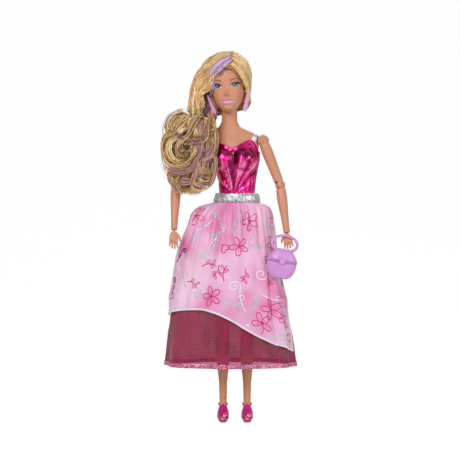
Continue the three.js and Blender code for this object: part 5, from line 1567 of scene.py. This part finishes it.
# Rows of each shell from its top: share down, share of the width and share of the depth
LID_ROWS = np.array([
    [0, 0.4, 0.46], [0.08, 0.52, 0.58], [0.3, 0.68, 0.74], [0.55, 0.82, 0.87], [0.8, 0.93, 0.95],
    [1, 0.97, 0.98],
])
BOWL_ROWS = np.array([
    [0, 0.95, 0.96], [0.2, 0.97, 0.98], [0.4, 0.95, 0.96], [0.6, 0.88, 0.89], [0.78, 0.78, 0.8],
    [0.92, 0.64, 0.68], [1, 0.5, 0.54],
])


def from_bag(points):
    c, s = math.cos(BAG_TILT), math.sin(BAG_TILT)
    return BAG_AT + np.asarray(points, float) @ np.array([[c, 0, -s], [0, 1, 0], [s, 0, c]])


def shell(name, table, top, height, toward, lip):
    """A bag shell with rounded-square sections, an inner wall and a lip at its open side, which is
    up where toward is 1 and down where it is -1."""
    angle = np.linspace(0, 2 * np.pi, 96, endpoint=False)
    square = [np.sign(value) * np.abs(value) ** 0.78 * 0.95 for value in (np.cos(angle), np.sin(angle))]
    ribs = 0.08 * np.cos(4 * angle)
    count = 26
    fine = np.linspace(0, 1, count)
    wide, deep = (smoothed(values, 3) for values in read_rows(table, fine))
    level = top - fine * height
    order = range(count)[::-toward]
    closed, opened = order[0], order[-1]
    rings = []

    def ring(k, z, grow=0.0, share=1.0):
        x = square[0] * (wide[k] * share * BAG_WIDE + grow + ribs)
        y = square[1] * (deep[k] * share * BAG_DEEP + grow + ribs)
        rings.append(np.stack([x, y, np.full_like(x, z)], -1))

    for share in (0.02, 0.5, 0.85):
        ring(closed, level[closed], share=share)
    for k in order:
        ring(k, level[k] + 0.25 * toward * (k == closed))
    ring(opened, level[opened] - toward * 0.9, lip)
    ring(opened, level[opened], lip)
    ring(opened, level[opened], -BAG_WALL)
    for k in order[::-1]:
        if toward * (level[k] - level[closed]) >= BAG_WALL:
            ring(k, level[k], -BAG_WALL)
    for share in (0.8, 0.02):
        ring(closed, level[closed] + toward * BAG_WALL, -BAG_WALL * share, share)
    return weld(grid(name, from_bag(rings), ends=True))


def build_ring():
    """The ring handle: a bent rod that ends in the solid's two eyes."""
    reach = np.pi - math.asin(0.646)
    turn = np.linspace(reach, -reach, 120)
    path = np.stack([RING_WIDE * np.sin(turn), 0 * turn, RING_UP + RING_TALL * np.cos(turn)], -1)
    side = np.cross(unit(np.gradient(path, axis=0)), [0, 1.0, 0])
    rows = [
        path + (side * math.cos(a) + np.array([0, math.sin(a), 0])) * RING_THICK
        for a in np.linspace(0, 2 * np.pi, 16, endpoint=False)
    ]
    ring = weld(grid("lilac_ring", from_bag(np.stack(rows, 1)), ends=True))
    settle(ring, "bag", "bag_handle", ["bag_handle"])
    eyes = rounded("ring_eyes", "bag_handle", 0.2, 4, "bag", "bag_handle", keep=True)
    work = bmesh.new()
    work.from_mesh(eyes.data)
    limit = from_bag([0, 0, 2.2])[2] * MM
    bmesh.ops.bisect_plane(
        work, geom=work.verts[:] + work.edges[:] + work.faces[:], plane_co=(0, 0, limit),
        plane_no=(0, 0, 1), clear_outer=True,
    )
    bmesh.ops.holes_fill(work, edges=work.edges[:])
    work.to_mesh(eyes.data)
    work.free()


def build_bag():
    """The two shells, the ring handle, the heart in front and the studs."""
    lid = shell("lilac_lid", LID_ROWS, 1.2, 9.6, -1, 0.35)
    settle(lid, "bag", "bag_lid", ["bag_lid"])
    bowl = shell("lilac_bowl", BOWL_ROWS, -8.7, 13.6, 1, 0.55)
    settle(bowl, "bag", "bag_bowl", ["bag_bowl"])
    build_ring()
    rounded("heart_clasp", "bag_clasp", 0.12, 3, "bag", "bag_lid")
    for side in SIDES:
        rounded(f"round_stud_{side}", f"bag_stud_{side}", 0.08, 3, "bag", "bag_lid")


def dress_hidden_parts():
    """Gives the solids that stay in view their finishes."""
    for name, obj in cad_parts.items():
        if obj.hide_render:
            continue
        steel = name in ("bag_hinge_pin", "handle_pin_right", "handle_pin_left", "hip_rod")
        obj.data.materials.clear()
        obj.data.materials.append(FINISH["steel" if steel else "skin"])


# The add-on


class DollLooks(bpy.types.PropertyGroup):
    """Sizes and colours that a user would change."""

    skin_colour: FloatVectorProperty(
        name="Skin", description="Skin colour", subtype="COLOR", size=3, default=tint(214, 150, 116)
    )
    hair_colour: FloatVectorProperty(
        name="Hair", description="Blond of the hair", subtype="COLOR", size=3, default=tint(224, 172, 104)
    )
    foil_colour: FloatVectorProperty(
        name="Foil", description="Foil of the bodice", subtype="COLOR", size=3, default=tint(236, 24, 132)
    )
    satin_colour: FloatVectorProperty(
        name="Satin", description="Satin of the overskirt", subtype="COLOR", size=3,
        default=tint(244, 186, 224),
    )
    net_colour: FloatVectorProperty(
        name="Net", description="Net of the petticoat", subtype="COLOR", size=3, default=tint(168, 4, 74)
    )
    bag_colour: FloatVectorProperty(
        name="Bag", description="Plastic of the bag", subtype="COLOR", size=3, default=tint(222, 158, 226)
    )
    curl_locks: IntProperty(
        name="Curl locks", description="Locks in the long curls", default=380, min=50, max=500
    )
    head_locks: IntProperty(
        name="Head locks", description="Locks over the shoulder side of the head", default=264,
        min=40, max=400,
    )
    print_motifs: IntProperty(
        name="Print motifs", description="Motifs printed on the overskirt", default=170, min=10, max=300
    )
    camera_lift: FloatProperty(
        name="Camera lift", description="How far the camera looks down", subtype="ANGLE",
        default=math.radians(1.5), min=0, max=math.radians(30),
    )
    key_power: FloatProperty(
        name="Key light", description="Power of the main lamp", unit="POWER", default=8.5, min=1, max=200
    )
    room_light: FloatProperty(
        name="Room light", description="Strength of the light from all around", default=0.3, min=0, max=2
    )


class StageOperator(bpy.types.Operator):
    """Sets the camera, the pale floor and the soft studio light"""

    bl_idname = "doll.stage"
    bl_label = "Stage"

    def execute(self, context):
        looks = context.scene.doll_looks
        context.scene.view_settings.view_transform = "Standard"
        build_camera(looks)
        build_floor()
        build_room(looks)
        build_lamps(looks)
        return {"FINISHED"}


class FinishesOperator(bpy.types.Operator):
    """Makes the skin, hair, cloth and plastic finishes"""

    bl_idname = "doll.finishes"
    bl_label = "Finishes"

    def execute(self, context):
        FINISH.update(build_finishes(context.scene.doll_looks))
        return {"FINISHED"}


class SkinOperator(bpy.types.Operator):
    """Makes the trunk, arms, hands, legs and shoes"""

    bl_idname = "doll.skin"
    bl_label = "Body and shoes"

    def execute(self, context):
        build_trunk()
        build_limbs(ARM)
        build_limbs(LEG)
        return {"FINISHED"}


class FaceOperator(bpy.types.Operator):
    """Makes the head with its painted face"""

    bl_idname = "doll.face"
    bl_label = "Face"

    def execute(self, context):
        build_face(context.scene.doll_looks)
        return {"FINISHED"}


class HairOperator(bpy.types.Operator):
    """Makes the hair on the head, the long curls and the earrings"""

    bl_idname = "doll.hair"
    bl_label = "Hair and earrings"

    def execute(self, context):
        build_head_hair(context.scene.doll_looks)
        build_curls(context.scene.doll_looks)
        build_earrings()
        return {"FINISHED"}


class DressOperator(bpy.types.Operator):
    """Makes the bodice, straps, belt, overskirt and petticoat"""

    bl_idname = "doll.dress"
    bl_label = "Dress"

    def execute(self, context):
        build_bodice()
        build_straps()
        build_belt()
        build_overskirt(context.scene.doll_looks)
        build_petticoat()
        return {"FINISHED"}


class BagOperator(bpy.types.Operator):
    """Makes the handbag with its ring handle"""

    bl_idname = "doll.bag"
    bl_label = "Handbag"

    def execute(self, context):
        build_bag()
        dress_hidden_parts()
        return {"FINISHED"}


class DollPanel(bpy.types.Panel):
    """The doll's steps and looks in the sidebar"""

    bl_idname = "VIEW3D_PT_doll"
    bl_label = "Fashion doll"
    bl_space_type = "VIEW_3D"
    bl_region_type = "UI"
    bl_category = "Doll"

    def draw(self, context):
        for step in STEPS:
            self.layout.operator(step.bl_idname)
        for name in DollLooks.__annotations__:
            self.layout.prop(context.scene.doll_looks, name)


STEPS = (
    StageOperator, FinishesOperator, SkinOperator, FaceOperator, HairOperator, DressOperator, BagOperator,
)


def register():
    for item in (DollLooks,) + STEPS + (DollPanel,):
        bpy.utils.register_class(item)
    bpy.types.Scene.doll_looks = PointerProperty(type=DollLooks)


def unregister():
    del bpy.types.Scene.doll_looks
    for item in reversed((DollLooks,) + STEPS + (DollPanel,)):
        bpy.utils.unregister_class(item)


def main():
    register()
    for step in (
        bpy.ops.doll.stage, bpy.ops.doll.finishes, bpy.ops.doll.skin, bpy.ops.doll.face,
        bpy.ops.doll.hair, bpy.ops.doll.dress, bpy.ops.doll.bag,
    ):
        deselect()
        step()


if __name__ == "__main__":
    main()
